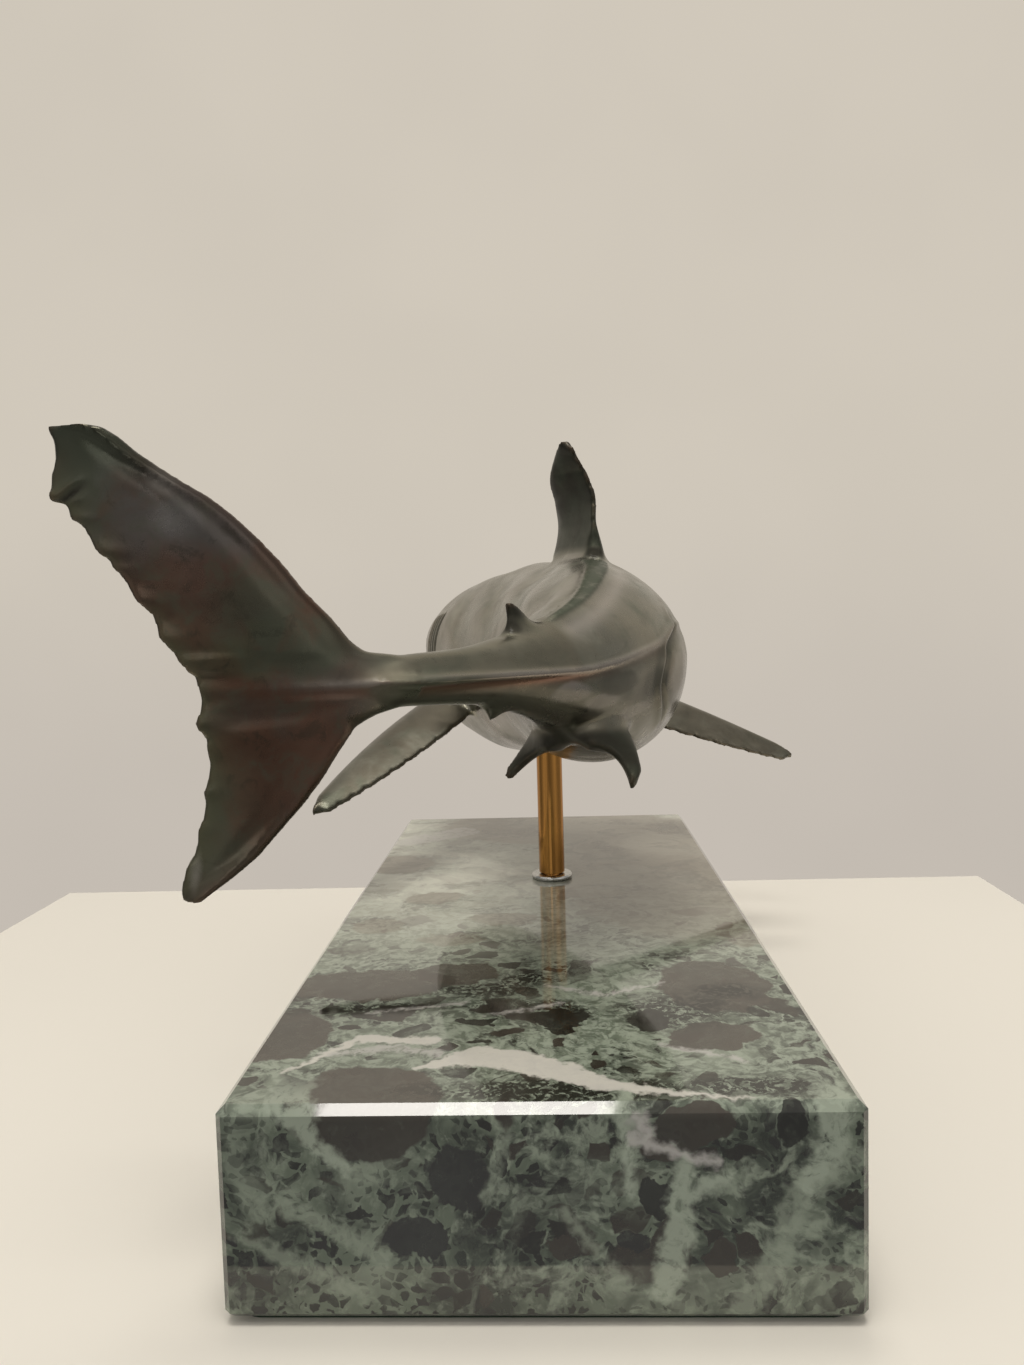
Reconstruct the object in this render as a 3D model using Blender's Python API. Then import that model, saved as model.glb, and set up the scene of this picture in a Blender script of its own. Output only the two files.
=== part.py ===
# A shark in patinated bronze, swimming in a C-shaped bend, carried on a brass rod over a marble block.
# Metres, +Z up. The origin is the middle of the underside of the foot felt. The shark's head points
# along +Y and its tail swings to -X. Distances along the shark run from the snout towards the tail.

import math

import bmesh
import bpy
import numpy as np
from mathutils import Vector

# Every seat, bore and joint line keeps this gap, because meshes can't touch.
SEAT_GAP = 0.0003

# How far a cutter reaches past the face it opens
CUT_SPARE = 0.003

# Base block and its foot
BASE_WIDTH = 0.140
BASE_LENGTH = 0.296
MARBLE_HEIGHT = 0.0481
TOP_CHAMFER = 0.0019
UPRIGHT_CHAMFER = 0.0014
FOOT_CHAMFER = 0.0016
FELT_THICKNESS = 0.0012
FELT_INSET = 0.003
FELT_CORNER = 0.004

# Rod and its fixings
ROD_DIAMETER = 0.010
ROD_EXPOSED = 0.0462
ROD_FORWARD = 0.0322
ROD_SIDEWAYS = 0.0038
ROD_EDGE = 0.0004
THREAD_DIAMETER = 0.008
THREAD_TAIL = 0.003
CLEARANCE_HOLE = 0.009
FOOT_WASHER_DIAMETER = 0.016
FOOT_WASHER_THICKNESS = 0.0016
CLAMP_WASHER_DIAMETER = 0.024
CLAMP_WASHER_THICKNESS = 0.002
WASHER_EDGE = 0.0003
NUT_ACROSS_FLATS = 0.013
NUT_HEIGHT = 0.0065
COUNTERBORE_DIAMETER = 0.030
COUNTERBORE_DEPTH = 0.020
BOSS_DIAMETER = 0.014
BOSS_HEIGHT = 0.016
BOSS_SKIN = 0.0100
BOSS_THREAD_DEPTH = 0.012

# Shark body
BODY_LENGTH = 0.331
BACK_HEIGHT = 0.0375
BELLY_DEPTH = 0.0435
BODY_WIDTH = 0.071
ROD_OFFSET = 0.0115
TAIL_RISE = 0.0012
SNOUT_ROUNDING = 0.009
TAIL_ROOT_HEIGHT = 0.013
TAIL_ROOT_WIDTH = 0.0125
KEEL_REACH = 0.0035
KEEL_LENGTH = 0.070
KEEL_SPREAD = 0.22
EYE_DIAMETER = 0.0058
EYE_ANGLE = 14
EYE_PROUD = 0.0012
MOUTH_GROOVE = 0.0022
GILL_SPACING = 0.0050
GILL_COUNT = 5
GILL_GROOVE = 0.0016
GILL_BOW = 0.0025
GILL_ANGLES = (-34, 36)
NOSTRIL_ANGLES = (-42, -24)
MOUTH_ANGLE = 70
NOSTRIL_LENGTH = 0.002
NOSTRIL_GROOVE = 0.0016

# Fins: each chord runs along the body and each height stands away from the skin or the axis.
DORSAL_BASE = 0.042
DORSAL_HEIGHT = 0.0412
DORSAL_SWEEP = 0.031
DORSAL_TIP = 0.009
DORSAL_THICKNESS = 0.0092
DORSAL_BULGE = 0.0060
DORSAL_HOLLOW = 0.0030
DORSAL_ROOT = 0.010
DORSAL_FLARE = 0.010
SECOND_DORSAL_BASE = 0.0163
SECOND_DORSAL_HEIGHT = 0.0070
SECOND_DORSAL_SWEEP = 0.0135
SECOND_DORSAL_THICKNESS = 0.0030
SECOND_DORSAL_TIP = 0.0018
ANAL_BASE = 0.0137
ANAL_HEIGHT = 0.0036
ANAL_SWEEP = 0.0105
ANAL_THICKNESS = 0.0028
ANAL_TIP = 0.0016
SMALL_FIN_BULGE = 0.0007
SMALL_FIN_ROOT = 0.004
PECTORAL_CHORD = 0.0265
PECTORAL_SPAN = 0.0853
PECTORAL_SWEEP = 0.0682
PECTORAL_TIP = 0.0073
PECTORAL_THICKNESS = 0.0080
PECTORAL_BULGE = 0.0070
PECTORAL_FULLNESS = 0.0033
PECTORAL_ROOT = 0.016
PECTORAL_FLARE = 0.003
PELVIC_CHORD = 0.0250
PELVIC_SPAN = 0.0180
PELVIC_SWEEP = 0.0175
PELVIC_TIP = 0.003
PELVIC_THICKNESS = 0.0058
PELVIC_BULGE = 0.0015
PELVIC_HOLLOW = 0.0020
PELVIC_ROOT = 0.008
PELVIC_FLARE = 0.001
UPPER_LOBE_REACH = 0.079
UPPER_LOBE_HEIGHT = 0.061
LOWER_LOBE_REACH = 0.0566
LOWER_LOBE_HEIGHT = 0.0484
LOBE_THICKNESS = 0.0080
CAUDAL_CORE_LENGTH = 0.036
CAUDAL_CORE_LIFT = 0.0018
SCALLOP_DEPTH = 0.0013
FIN_EDGE = 0.0011
FIN_TIP_THICKNESS = 0.0021
SMALL_TIP_THICKNESS = 0.0011

# Places along the body, as shares of its length from the snout
PLACES = {
    "nostril": 0.038, "mouth_front": 0.070, "eye": 0.0785, "mouth_corner": 0.151, "gills": 0.205,
    "pectoral": 0.305, "dorsal": 0.4925, "rod": 0.532, "pelvic": 0.746, "second_dorsal": 0.846, "anal": 0.884,
}

# Mesh fineness
BODY_RINGS = 60
BODY_SIDES = 32
FIN_COLUMNS = 7
ROUND_SIDES = 32

# Heading of the swimming body in degrees to the left of +Y, at shares of the body length from the snout.
SWIM_CURVE = (
    (0.00, 14), (0.18, 20), (0.35, 28), (0.53, 15), (0.616, 3), (0.692, -7),
    (0.767, -20), (0.873, -34), (1.00, -50), (1.063, -62), (1.124, -69), (1.35, -80),
)

# Lines of the body: share of the length, then the back, belly and side as shares of their largest.
BODY_LINES = (
    (0.000, 0.20, 0.16, 0.18),
    (0.030, 0.33, 0.24, 0.30),
    (0.085, 0.52, 0.46, 0.52),
    (0.166, 0.70, 0.73, 0.68),
    (0.257, 0.845, 0.94, 0.83),
    (0.350, 0.945, 1.00, 0.94),
    (0.453, 1.00, 0.965, 1.00),
    (0.532, 1.00, 0.90, 1.00),
    (0.616, 0.955, 0.87, 0.965),
    (0.692, 0.82, 0.75, 0.86),
    (0.767, 0.60, 0.56, 0.62),
    (0.873, 0.32, 0.29, 0.33),
    (0.943, 0.205, 0.175, 0.215),
)

# How peaked the back is: the power of the rounded section above the axis, along the body.
BACK_POWER = ((0.0, 2.0), (0.26, 1.95), (0.45, 1.80), (0.62, 1.70), (0.80, 1.80), (1.0, 2.0))

# Outlines of the tail lobes from the tail root: shares of the lobe's reach and height.
UPPER_LOBE_LEAD = (
    (0.03, 0.03), (0.16, 0.13), (0.27, 0.32), (0.40, 0.51),
    (0.60, 0.735), (0.80, 0.93), (0.90, 0.99), (1.0, 1.0),
)
UPPER_LOBE_TRAIL = (
    (0.60, -0.06), (0.64, 0.05), (0.73, 0.23), (0.80, 0.38),
    (0.88, 0.54), (0.955, 0.68), (1.0, 0.74), (1.0, 0.86),
)
LOWER_LOBE_LEAD = (
    (0.03, 0.03), (0.16, 0.13), (0.30, 0.23), (0.43, 0.46),
    (0.57, 0.66), (0.76, 0.86), (0.90, 0.975), (0.965, 1.0),
)
LOWER_LOBE_TRAIL = (
    (0.86, -0.06), (0.88, 0.05), (0.865, 0.22), (0.87, 0.38),
    (0.90, 0.58), (0.945, 0.78), (0.985, 0.90), (1.0, 0.965),
)

# Scallops along the trailing edges
UPPER_SCALLOPS = 10
LOWER_SCALLOPS = 8
DORSAL_SCALLOPS = 5
PECTORAL_SCALLOPS = 7

# How far the dorsal fin leans to the right and opens across its chord, as shares of its height, by height.
DORSAL_SET = (
    (0.0, 0.023, 0.052), (0.30, 0.005, 0.060), (0.50, -0.027, 0.098),
    (0.69, -0.106, 0.116), (0.85, -0.152, 0.068), (0.94, -0.162, 0.034), (1.0, -0.172, 0.012),
)

# Each paired fin's root: its side as a share of the half width and its drop as a share of the belly's depth.
# Then the fin's droop and incidence in degrees.
PECTORAL_POSES = {
    "left_pectoral_fin": (0.797, 0.363, 9.4, 18.0),
    "right_pectoral_fin": (0.899, 0.202, 0.6, 35.9),
}
PELVIC_POSES = {
    "left_pelvic_fin": (0.296, 0.437, 40, 22),
    "right_pelvic_fin": (0.296, 0.437, 50, 22),
}

BRONZE = ("bronze_patina", (0.070, 0.068, 0.050), 0.34, 0.85)
EYE_BRONZE = ("polished_bronze", (0.035, 0.032, 0.026), 0.18, 0.85)
BRASS = ("polished_brass", (0.78, 0.50, 0.20), 0.16, 1.0)
STEEL = ("bright_steel", (0.62, 0.62, 0.60), 0.22, 1.0)
MARBLE = ("green_marble", (0.085, 0.105, 0.085), 0.10, 0.0)
FELT = ("green_felt", (0.020, 0.035, 0.022), 0.95, 0.0)


# Scene and materials

def clear_scene():
    for item in list(bpy.data.objects):
        bpy.data.objects.remove(item, do_unlink=True)


def material(finish):
    name, colour, roughness, metallic = finish
    found = bpy.data.materials.get(name)
    if found:
        return found
    made = bpy.data.materials.new(name)
    made.use_nodes = True
    shader = made.node_tree.nodes["Principled BSDF"]
    shader.inputs["Base Color"].default_value = (*colour, 1.0)
    shader.inputs["Roughness"].default_value = roughness
    shader.inputs["Metallic"].default_value = metallic
    return made


def add_object(name, vertices, faces, finish=None, smooth_angle=None):
    mesh = bpy.data.meshes.new(name)
    mesh.from_pydata([tuple(v) for v in vertices], [], faces)
    mesh.validate()
    made = bpy.data.objects.new(name, mesh)
    bpy.context.scene.collection.objects.link(made)
    if finish:
        mesh.materials.append(material(finish))
    if smooth_angle is not None:
        mesh.shade_smooth()
        mesh.set_sharp_from_angle(angle=math.radians(smooth_angle))
    return made


def as_cutter(thing):
    thing.hide_render = True
    thing.display_type = "WIRE"
    return thing


def boolean(target, tool, operation="DIFFERENCE"):
    step = target.modifiers.new(operation.lower() + "_" + tool.name, "BOOLEAN")
    step.operation = operation
    step.solver = "EXACT"
    step.object = tool


# Curves through design points

def smooth_through(stations, values):
    """A curve through the points that never overshoots them."""
    x = np.asarray(stations, float)
    y = np.asarray(values, float)
    step = np.diff(x)
    slope = np.diff(y) / step
    tangent = np.zeros(len(x))
    for i in range(1, len(x) - 1):
        if slope[i - 1] * slope[i] > 0:
            before = 2 * step[i] + step[i - 1]
            after = step[i] + 2 * step[i - 1]
            tangent[i] = (before + after) / (before / slope[i - 1] + after / slope[i])
    tangent[0] = slope[0]
    tangent[-1] = slope[-1]

    def value(t):
        t = np.clip(t, x[0], x[-1])
        i = np.clip(np.searchsorted(x, t) - 1, 0, len(x) - 2)
        u = (t - x[i]) / step[i]
        start = (1 + 2 * u) * (1 - u) ** 2 * y[i] + u * (1 - u) ** 2 * step[i] * tangent[i]
        end = u * u * (3 - 2 * u) * y[i + 1] + u * u * (u - 1) * step[i] * tangent[i + 1]
        return start + end

    return value


def ease(t):
    t = np.clip(t, 0, 1)
    return t * t * (3 - 2 * t)


def outline_curve(points):
    """A smooth plane curve through outline points, read from 0 at the first to 1 at the last."""
    points = np.asarray(points, float)
    lengths = np.concatenate([[0], np.cumsum(np.linalg.norm(np.diff(points, axis=0), axis=1))])
    share = lengths / lengths[-1]
    back = smooth_through(share, points[:, 0])
    out = smooth_through(share, points[:, 1])
    return lambda t: np.stack([back(t), out(t)], -1)


# Heights of the stack from the foot felt up to the shark, and the rod's place in plan

rod_place = (ROD_SIDEWAYS, ROD_FORWARD)
marble_bottom = FELT_THICKNESS + SEAT_GAP
marble_top = marble_bottom + MARBLE_HEIGHT
rod_shoulder = marble_top + SEAT_GAP + FOOT_WASHER_THICKNESS + SEAT_GAP
belly_height = rod_shoulder + ROD_EXPOSED
boss_bottom = belly_height + BOSS_SKIN
counterbore_roof = marble_bottom + COUNTERBORE_DEPTH
nut_top = counterbore_roof - SEAT_GAP - CLAMP_WASHER_THICKNESS - SEAT_GAP
rod_bottom = nut_top - NUT_HEIGHT - THREAD_TAIL


# The swimming line and the body's sections

station_of = {name: share * BODY_LENGTH for name, share in PLACES.items()}
heading_share = smooth_through([p[0] for p in SWIM_CURVE], [math.radians(p[1]) for p in SWIM_CURVE])


def body_line(column, tail_root_share):
    """One line of the body, which ends at the tail root's own size."""
    shares = [line[0] for line in BODY_LINES] + [1.0]
    return smooth_through(shares, [line[column] for line in BODY_LINES] + [tail_root_share])


back_share = body_line(1, TAIL_ROOT_HEIGHT / 2 / BACK_HEIGHT)
belly_share = body_line(2, TAIL_ROOT_HEIGHT / 2 / BELLY_DEPTH)
side_share = body_line(3, TAIL_ROOT_WIDTH / BODY_WIDTH)
back_power = smooth_through([p[0] for p in BACK_POWER], [p[1] for p in BACK_POWER])


def swimming_line():
    """Places along the shark's axis in plan, the rod's station lying beside the rod."""
    stations = np.linspace(0, 1.4 * BODY_LENGTH, 1401)
    heading = heading_share(stations / BODY_LENGTH)
    step = stations[1] - stations[0]
    middle = (heading[1:] + heading[:-1]) / 2
    x = np.concatenate([[0], np.cumsum(np.sin(middle) * step)])
    y = np.concatenate([[0], np.cumsum(-np.cos(middle) * step)])
    x += ROD_SIDEWAYS + ROD_OFFSET - np.interp(station_of["rod"], stations, x)
    y += ROD_FORWARD - np.interp(station_of["rod"], stations, y)
    return stations, x, y


line_stations, line_x, line_y = swimming_line()


def half_sizes(station):
    """Half height above the axis, half height below it and half width, rounded off at the snout."""
    share = np.asarray(station) / BODY_LENGTH
    nose = np.clip(np.asarray(station) / SNOUT_ROUNDING, 0, 1)
    rounding = np.sqrt(np.clip(1 - (1 - nose) ** 2, 0, 1))
    return (
        BACK_HEIGHT * back_share(share) * rounding,
        BELLY_DEPTH * belly_share(share) * rounding,
        BODY_WIDTH / 2 * side_share(share) * rounding,
    )


axis_height = belly_height + float(half_sizes(station_of["rod"])[1])


def axis_point(station):
    rise = TAIL_RISE * ease((np.asarray(station) - station_of["rod"]) / (BODY_LENGTH - station_of["rod"]))
    return np.stack([
        np.interp(station, line_stations, line_x),
        np.interp(station, line_stations, line_y),
        axis_height + rise,
    ], -1)


def body_frame(station):
    """The forward and right directions of the swimming line. Up stays +Z."""
    heading = heading_share(np.asarray(station) / BODY_LENGTH)
    zero = np.zeros_like(heading)
    forward = np.stack([-np.sin(heading), np.cos(heading), zero], -1)
    right = np.stack([np.cos(heading), np.sin(heading), zero], -1)
    return forward, right


def from_axis(station, side, height):
    """A point beside and above the axis at a station."""
    side = np.asarray(side)
    height = np.asarray(height)
    right = body_frame(station)[1]
    point = axis_point(station) + right * side[..., None]
    point[..., 2] += height
    return point


def section(station, angle, grow=0.0):
    """Side and height of the skin at an angle from the right flank, counted over the back."""
    back, belly, side = half_sizes(station)
    keel = KEEL_REACH * ease((station - (BODY_LENGTH - KEEL_LENGTH)) / KEEL_LENGTH)
    power = back_power(station / BODY_LENGTH)
    across = np.cos(angle)
    rise = np.sin(angle)
    over = rise > 0
    bend = np.where(over, 2 / power, 1.0)
    flank = np.arcsin(np.clip(np.abs(rise), 0, 1))
    reach = side + grow + keel * np.exp(-(flank / KEEL_SPREAD) ** 2)
    tall = np.where(over, back, belly) + grow
    return np.sign(across) * np.abs(across) ** bend * reach, np.sign(rise) * np.abs(rise) ** bend * tall


def skin_point(station, degrees, grow=0.0):
    side, height = section(np.asarray(station, float), np.radians(degrees), grow)
    return from_axis(station, side, height)


# Lofts

def loft(rings, start_cap=True, end_cap=True):
    """Vertices and faces of a skin over closed rings. A ring of one point closes the end."""
    vertices = []
    faces = []
    starts = []
    for ring in rings:
        starts.append(len(vertices))
        vertices.extend(ring)
    for (first, a), (second, b) in zip(zip(starts, rings), list(zip(starts, rings))[1:]):
        count = max(len(a), len(b))
        for i in range(count):
            j = (i + 1) % count
            if len(a) == 1:
                faces.append((first, second + j, second + i))
            elif len(b) == 1:
                faces.append((first + i, first + j, second))
            else:
                faces.append((first + i, first + j, second + j, second + i))
    if start_cap and len(rings[0]) > 1:
        faces.append(tuple(starts[0] + i for i in reversed(range(len(rings[0])))))
    if end_cap and len(rings[-1]) > 1:
        faces.append(tuple(starts[-1] + i for i in range(len(rings[-1]))))
    return vertices, faces


def facing_out(thing):
    """Turns the faces of a closed mesh outwards."""
    work = bmesh.new()
    work.from_mesh(thing.data)
    bmesh.ops.recalc_face_normals(work, faces=work.faces)
    work.to_mesh(thing.data)
    work.free()
    return thing


def turned(name, profile, finish=None, place=(0, 0), sides=ROUND_SIDES, smooth_angle=30):
    """A piece turned about an upright axis from (radius, height) points, bottom to top."""
    x, y = place
    angles = [2 * math.pi * i / sides for i in range(sides)]
    rings = []
    for radius, height in profile:
        if radius == 0:
            rings.append([(x, y, height)])
        else:
            rings.append([(x + radius * math.cos(a), y + radius * math.sin(a), height) for a in angles])
    return facing_out(add_object(name, *loft(rings), finish, smooth_angle))


def turned_ring(name, profile, finish=None, place=(0, 0), sides=ROUND_SIDES, outline=None):
    """A turned piece with a hole: the profile is a closed outline of (radius, height) points."""
    angles = [2 * math.pi * i / sides for i in range(sides)]
    vertices = []
    faces = []
    count = len(profile)
    for i, a in enumerate(angles):
        for radius, height in profile:
            reach = radius if outline is None else outline(radius, a)
            vertices.append((place[0] + reach * math.cos(a), place[1] + reach * math.sin(a), height))
    for i in range(sides):
        j = (i + 1) % sides
        for p in range(count):
            q = (p + 1) % count
            faces.append((i * count + p, i * count + q, j * count + q, j * count + p))
    return facing_out(add_object(name, vertices, faces, finish, 30))


# Base

def chamfered_block():
    block = add_object("marble_base", *box_mesh(BASE_WIDTH, BASE_LENGTH, marble_bottom, marble_top), MARBLE)
    work = bmesh.new()
    work.from_mesh(block.data)

    def bevel_edges(choose, width):
        edges = [e for e in work.edges if choose(e)]
        bmesh.ops.bevel(work, geom=edges, offset=width, offset_type="OFFSET", segments=1,
                        profile=0.5, affect="EDGES")

    bevel_edges(lambda e: abs(e.verts[0].co.z - e.verts[1].co.z) > MARBLE_HEIGHT / 2, UPRIGHT_CHAMFER)
    bevel_edges(lambda e: all(abs(v.co.z - marble_top) < 1e-6 for v in e.verts), TOP_CHAMFER)
    bevel_edges(lambda e: all(abs(v.co.z - marble_bottom) < 1e-6 for v in e.verts), FOOT_CHAMFER)
    work.to_mesh(block.data)
    work.free()
    cutter = turned("rod_hole", [
        (0, marble_bottom - CUT_SPARE),
        (COUNTERBORE_DIAMETER / 2, marble_bottom - CUT_SPARE),
        (COUNTERBORE_DIAMETER / 2, counterbore_roof),
        (CLEARANCE_HOLE / 2, counterbore_roof),
        (CLEARANCE_HOLE / 2, marble_top + CUT_SPARE),
        (0, marble_top + CUT_SPARE),
    ], place=rod_place)
    boolean(block, as_cutter(cutter))
    return block


def box_mesh(width, length, bottom, top):
    quarters = ((-1, -1), (1, -1), (1, 1), (-1, 1))
    corners = [(x * width / 2, y * length / 2, z) for z in (bottom, top) for x, y in quarters]
    faces = [(3, 2, 1, 0), (4, 5, 6, 7), (0, 1, 5, 4), (1, 2, 6, 5), (2, 3, 7, 6), (3, 0, 4, 7)]
    return corners, faces


def foot_felt():
    width = BASE_WIDTH - 2 * FELT_INSET
    length = BASE_LENGTH - 2 * FELT_INSET
    felt = add_object("base_felt", *box_mesh(width, length, 0, FELT_THICKNESS), FELT)
    work = bmesh.new()
    work.from_mesh(felt.data)
    upright = [e for e in work.edges if abs(e.verts[0].co.z - e.verts[1].co.z) > FELT_THICKNESS / 2]
    bmesh.ops.bevel(work, geom=upright, offset=FELT_CORNER, offset_type="OFFSET", segments=4,
                    profile=0.5, affect="EDGES")
    work.to_mesh(felt.data)
    work.free()
    return felt


# Rod and fixings

def support_rod():
    thread = THREAD_DIAMETER / 2
    full = ROD_DIAMETER / 2
    top_shoulder = boss_bottom - SEAT_GAP
    thread_end = boss_bottom + BOSS_THREAD_DEPTH - 2 * SEAT_GAP
    return turned("support_rod", [
        (0, rod_bottom),
        (thread - ROD_EDGE, rod_bottom),
        (thread, rod_bottom + ROD_EDGE),
        (thread, rod_shoulder),
        (full - ROD_EDGE, rod_shoulder),
        (full, rod_shoulder + ROD_EDGE),
        (full, top_shoulder - ROD_EDGE),
        (full - ROD_EDGE, top_shoulder),
        (thread, top_shoulder),
        (thread, thread_end - ROD_EDGE),
        (thread - ROD_EDGE, thread_end),
        (0, thread_end),
    ], BRASS, rod_place)


def washer(name, outer, thickness, bottom):
    hole = THREAD_DIAMETER / 2 + SEAT_GAP
    return turned_ring(name, [
        (hole, bottom),
        (outer / 2 - WASHER_EDGE, bottom),
        (outer / 2, bottom + WASHER_EDGE),
        (outer / 2, bottom + thickness - WASHER_EDGE),
        (outer / 2 - WASHER_EDGE, bottom + thickness),
        (hole, bottom + thickness),
    ], STEEL, rod_place)


def clamp_nut():
    hole = THREAD_DIAMETER / 2 + SEAT_GAP
    flat = NUT_ACROSS_FLATS / 2
    bottom = nut_top - NUT_HEIGHT

    def hexagon(radius, angle):
        if radius <= hole:
            return radius
        return radius / math.cos((angle % (math.pi / 3)) - math.pi / 6)

    return turned_ring("clamp_nut", [
        (hole, bottom),
        (flat, bottom),
        (flat, nut_top),
        (hole, nut_top),
    ], STEEL, rod_place, 36, hexagon)


def mounting_boss():
    hole = THREAD_DIAMETER / 2 + SEAT_GAP
    outer = BOSS_DIAMETER / 2
    return turned("mounting_boss", [
        (0, boss_bottom + BOSS_THREAD_DEPTH),
        (hole, boss_bottom + BOSS_THREAD_DEPTH),
        (hole, boss_bottom),
        (outer, boss_bottom),
        (outer, boss_bottom + BOSS_HEIGHT),
        (0, boss_bottom + BOSS_HEIGHT),
    ], BRASS, rod_place)


# Shark body

def body_rings(grow=0.0):
    """Rings closer together towards the snout, with a single point at its tip."""
    spread = np.linspace(0, 1, BODY_RINGS + 1)[1:] ** 1.35
    angles = np.linspace(0, 2 * np.pi, BODY_SIDES, endpoint=False)
    tip = axis_point(0.0)
    tip[:2] += body_frame(0.0)[0][:2] * grow
    rings = [[tuple(tip)]]
    end = BODY_LENGTH + grow
    for station in spread * end:
        side, height = section(np.full(BODY_SIDES, station), angles, grow)
        rings.append([tuple(p) for p in from_axis(np.full(BODY_SIDES, station), side, height)])
    return rings


def swept_groove(path, radii, sides=6):
    """A tube with tapered ends along points on the skin."""
    path = np.asarray(path)
    way = np.gradient(path, axis=0)
    way /= np.linalg.norm(way, axis=1)[:, None]
    rings = [[tuple(path[0] - way[0] * radii[0])]]
    for point, forward, radius in zip(path, way, radii):
        across = np.cross(forward, (0.3, 0.2, 0.93))
        across /= np.linalg.norm(across)
        other = np.cross(forward, across)
        turn = np.linspace(0, 2 * np.pi, sides, endpoint=False)[:, None]
        rings.append([tuple(p) for p in point + radius * (np.cos(turn) * across + np.sin(turn) * other)])
    rings.append([tuple(path[-1] + way[-1] * radii[-1])])
    return rings


def tapered(count, radius, thin=0.35):
    return radius * (thin + (1 - thin) * np.sin(np.linspace(0, np.pi, count)))


def join_lofts(name, lofts):
    vertices = []
    faces = []
    for rings in lofts:
        more, corners = loft(rings)
        faces.extend(tuple(len(vertices) + i for i in face) for face in corners)
        vertices.extend(more)
    return facing_out(add_object(name, vertices, faces))


def mouth_path(count=17):
    """Over the underside of the head from one corner of the mouth to the other."""
    across = np.linspace(-1, 1, count)
    front = station_of["mouth_front"]
    stations = front + (station_of["mouth_corner"] - front) * np.abs(across) ** 1.7
    return skin_point(stations, -90 + MOUTH_ANGLE * across)


def gill_path(index, flank, count=7):
    stations = station_of["gills"] + index * GILL_SPACING + GILL_BOW * np.linspace(-1, 1, count) ** 2
    angles = np.linspace(*GILL_ANGLES, count)
    return skin_point(stations, angles if flank > 0 else 180 - angles)


def nostril_path(flank, count=5):
    stations = station_of["nostril"] + NOSTRIL_LENGTH * np.linspace(-0.5, 0.5, count)
    angles = np.linspace(*NOSTRIL_ANGLES, count)
    return skin_point(stations, angles if flank > 0 else 180 - angles)


def eye_centre(flank):
    angle = EYE_ANGLE if flank > 0 else 180 - EYE_ANGLE
    return skin_point(station_of["eye"], angle, EYE_PROUD - EYE_DIAMETER / 2)


def ball(name, centre, radius, finish=None):
    made = bpy.data.meshes.new(name)
    work = bmesh.new()
    bmesh.ops.create_uvsphere(work, u_segments=16, v_segments=8, radius=radius)
    bmesh.ops.translate(work, verts=work.verts, vec=Vector(centre))
    work.to_mesh(made)
    work.free()
    made.shade_smooth()
    if finish:
        made.materials.append(material(finish))
    thing = bpy.data.objects.new(name, made)
    bpy.context.scene.collection.objects.link(thing)
    return thing


def body_casting():
    body = facing_out(add_object("body_casting", *loft(body_rings()), BRONZE, 40))
    grooves = [swept_groove(mouth_path(), tapered(17, MOUTH_GROOVE / 2, 0.5))]
    for flank in (1, -1):
        grooves.append(swept_groove(nostril_path(flank), tapered(5, NOSTRIL_GROOVE / 2)))
        for index in range(GILL_COUNT):
            grooves.append(swept_groove(gill_path(index, flank), tapered(7, GILL_GROOVE / 2)))
    boolean(body, as_cutter(join_lofts("head_grooves", grooves)))
    for side, flank in (("right", 1), ("left", -1)):
        socket = ball(side + "_eye_socket", eye_centre(flank), EYE_DIAMETER / 2 + SEAT_GAP)
        boolean(body, as_cutter(socket))
    pocket = turned("rod_pocket", [
        (0, belly_height - CUT_SPARE),
        (ROD_DIAMETER / 2 + SEAT_GAP, belly_height - CUT_SPARE),
        (ROD_DIAMETER / 2 + SEAT_GAP, boss_bottom - SEAT_GAP),
        (BOSS_DIAMETER / 2 + SEAT_GAP, boss_bottom - SEAT_GAP),
        (BOSS_DIAMETER / 2 + SEAT_GAP, boss_bottom + BOSS_HEIGHT + SEAT_GAP),
        (0, boss_bottom + BOSS_HEIGHT + SEAT_GAP),
    ], place=rod_place)
    boolean(body, as_cutter(pocket))
    return body


# Fins

def blade(lead, trail, rows, thickness, tip_thickness, scallops=0, flare=0.0):
    """Rings of a fin in (back, out, side) places, each ring round one chord from lead to trail."""
    lead_curve = outline_curve(lead)
    trail_curve = outline_curve(trail)
    chord_share = (1 - np.cos(np.linspace(0, np.pi, FIN_COLUMNS + 1))) / 2
    bulge = 2.6 * np.sqrt(chord_share) * (1 - chord_share)
    rings = []
    for t in np.linspace(0, 1, rows):
        front = lead_curve(t)
        rear = trail_curve(t)
        chord = rear - front
        if scallops:
            notch = (1 - abs(math.sin(math.pi * scallops * t))) ** 2
            rear = rear - chord / np.linalg.norm(chord) * SCALLOP_DEPTH * notch * min(1, 6 * t)
            chord = rear - front
        thick = thickness + (tip_thickness - thickness) * t ** 0.8 + flare * math.exp(-t * 9)
        half = thick / 2 * bulge + FIN_EDGE / 2 * np.minimum(1, 4 * chord_share)
        places = front + chord * chord_share[:, None]
        top = [(*p, h) for p, h in zip(places[1:], half[1:])]
        under = [(*p, -h) for p, h in zip(places[1:], half[1:])][::-1]
        rings.append(np.array([(*front, 0.0)] + top + under))
    return rings


def simple_outline(base, height, sweep, tip, bulge, hollow, root_depth):
    """Lead and trail of a swept fin whose root is sunk by root_depth."""
    shares = np.linspace(0, 1, 6)
    arch = 4 * shares * (1 - shares)
    lead = [(sweep * t - bulge * a, height * t) for t, a in zip(shares, arch)]
    trail = [(base + (sweep + tip - base) * t - hollow * a, height * t) for t, a in zip(shares, arch)]
    trail[-1] = (trail[-1][0], height * 0.985)
    return [(lead[0][0], -root_depth)] + lead, [(trail[0][0], -root_depth)] + trail


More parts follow.
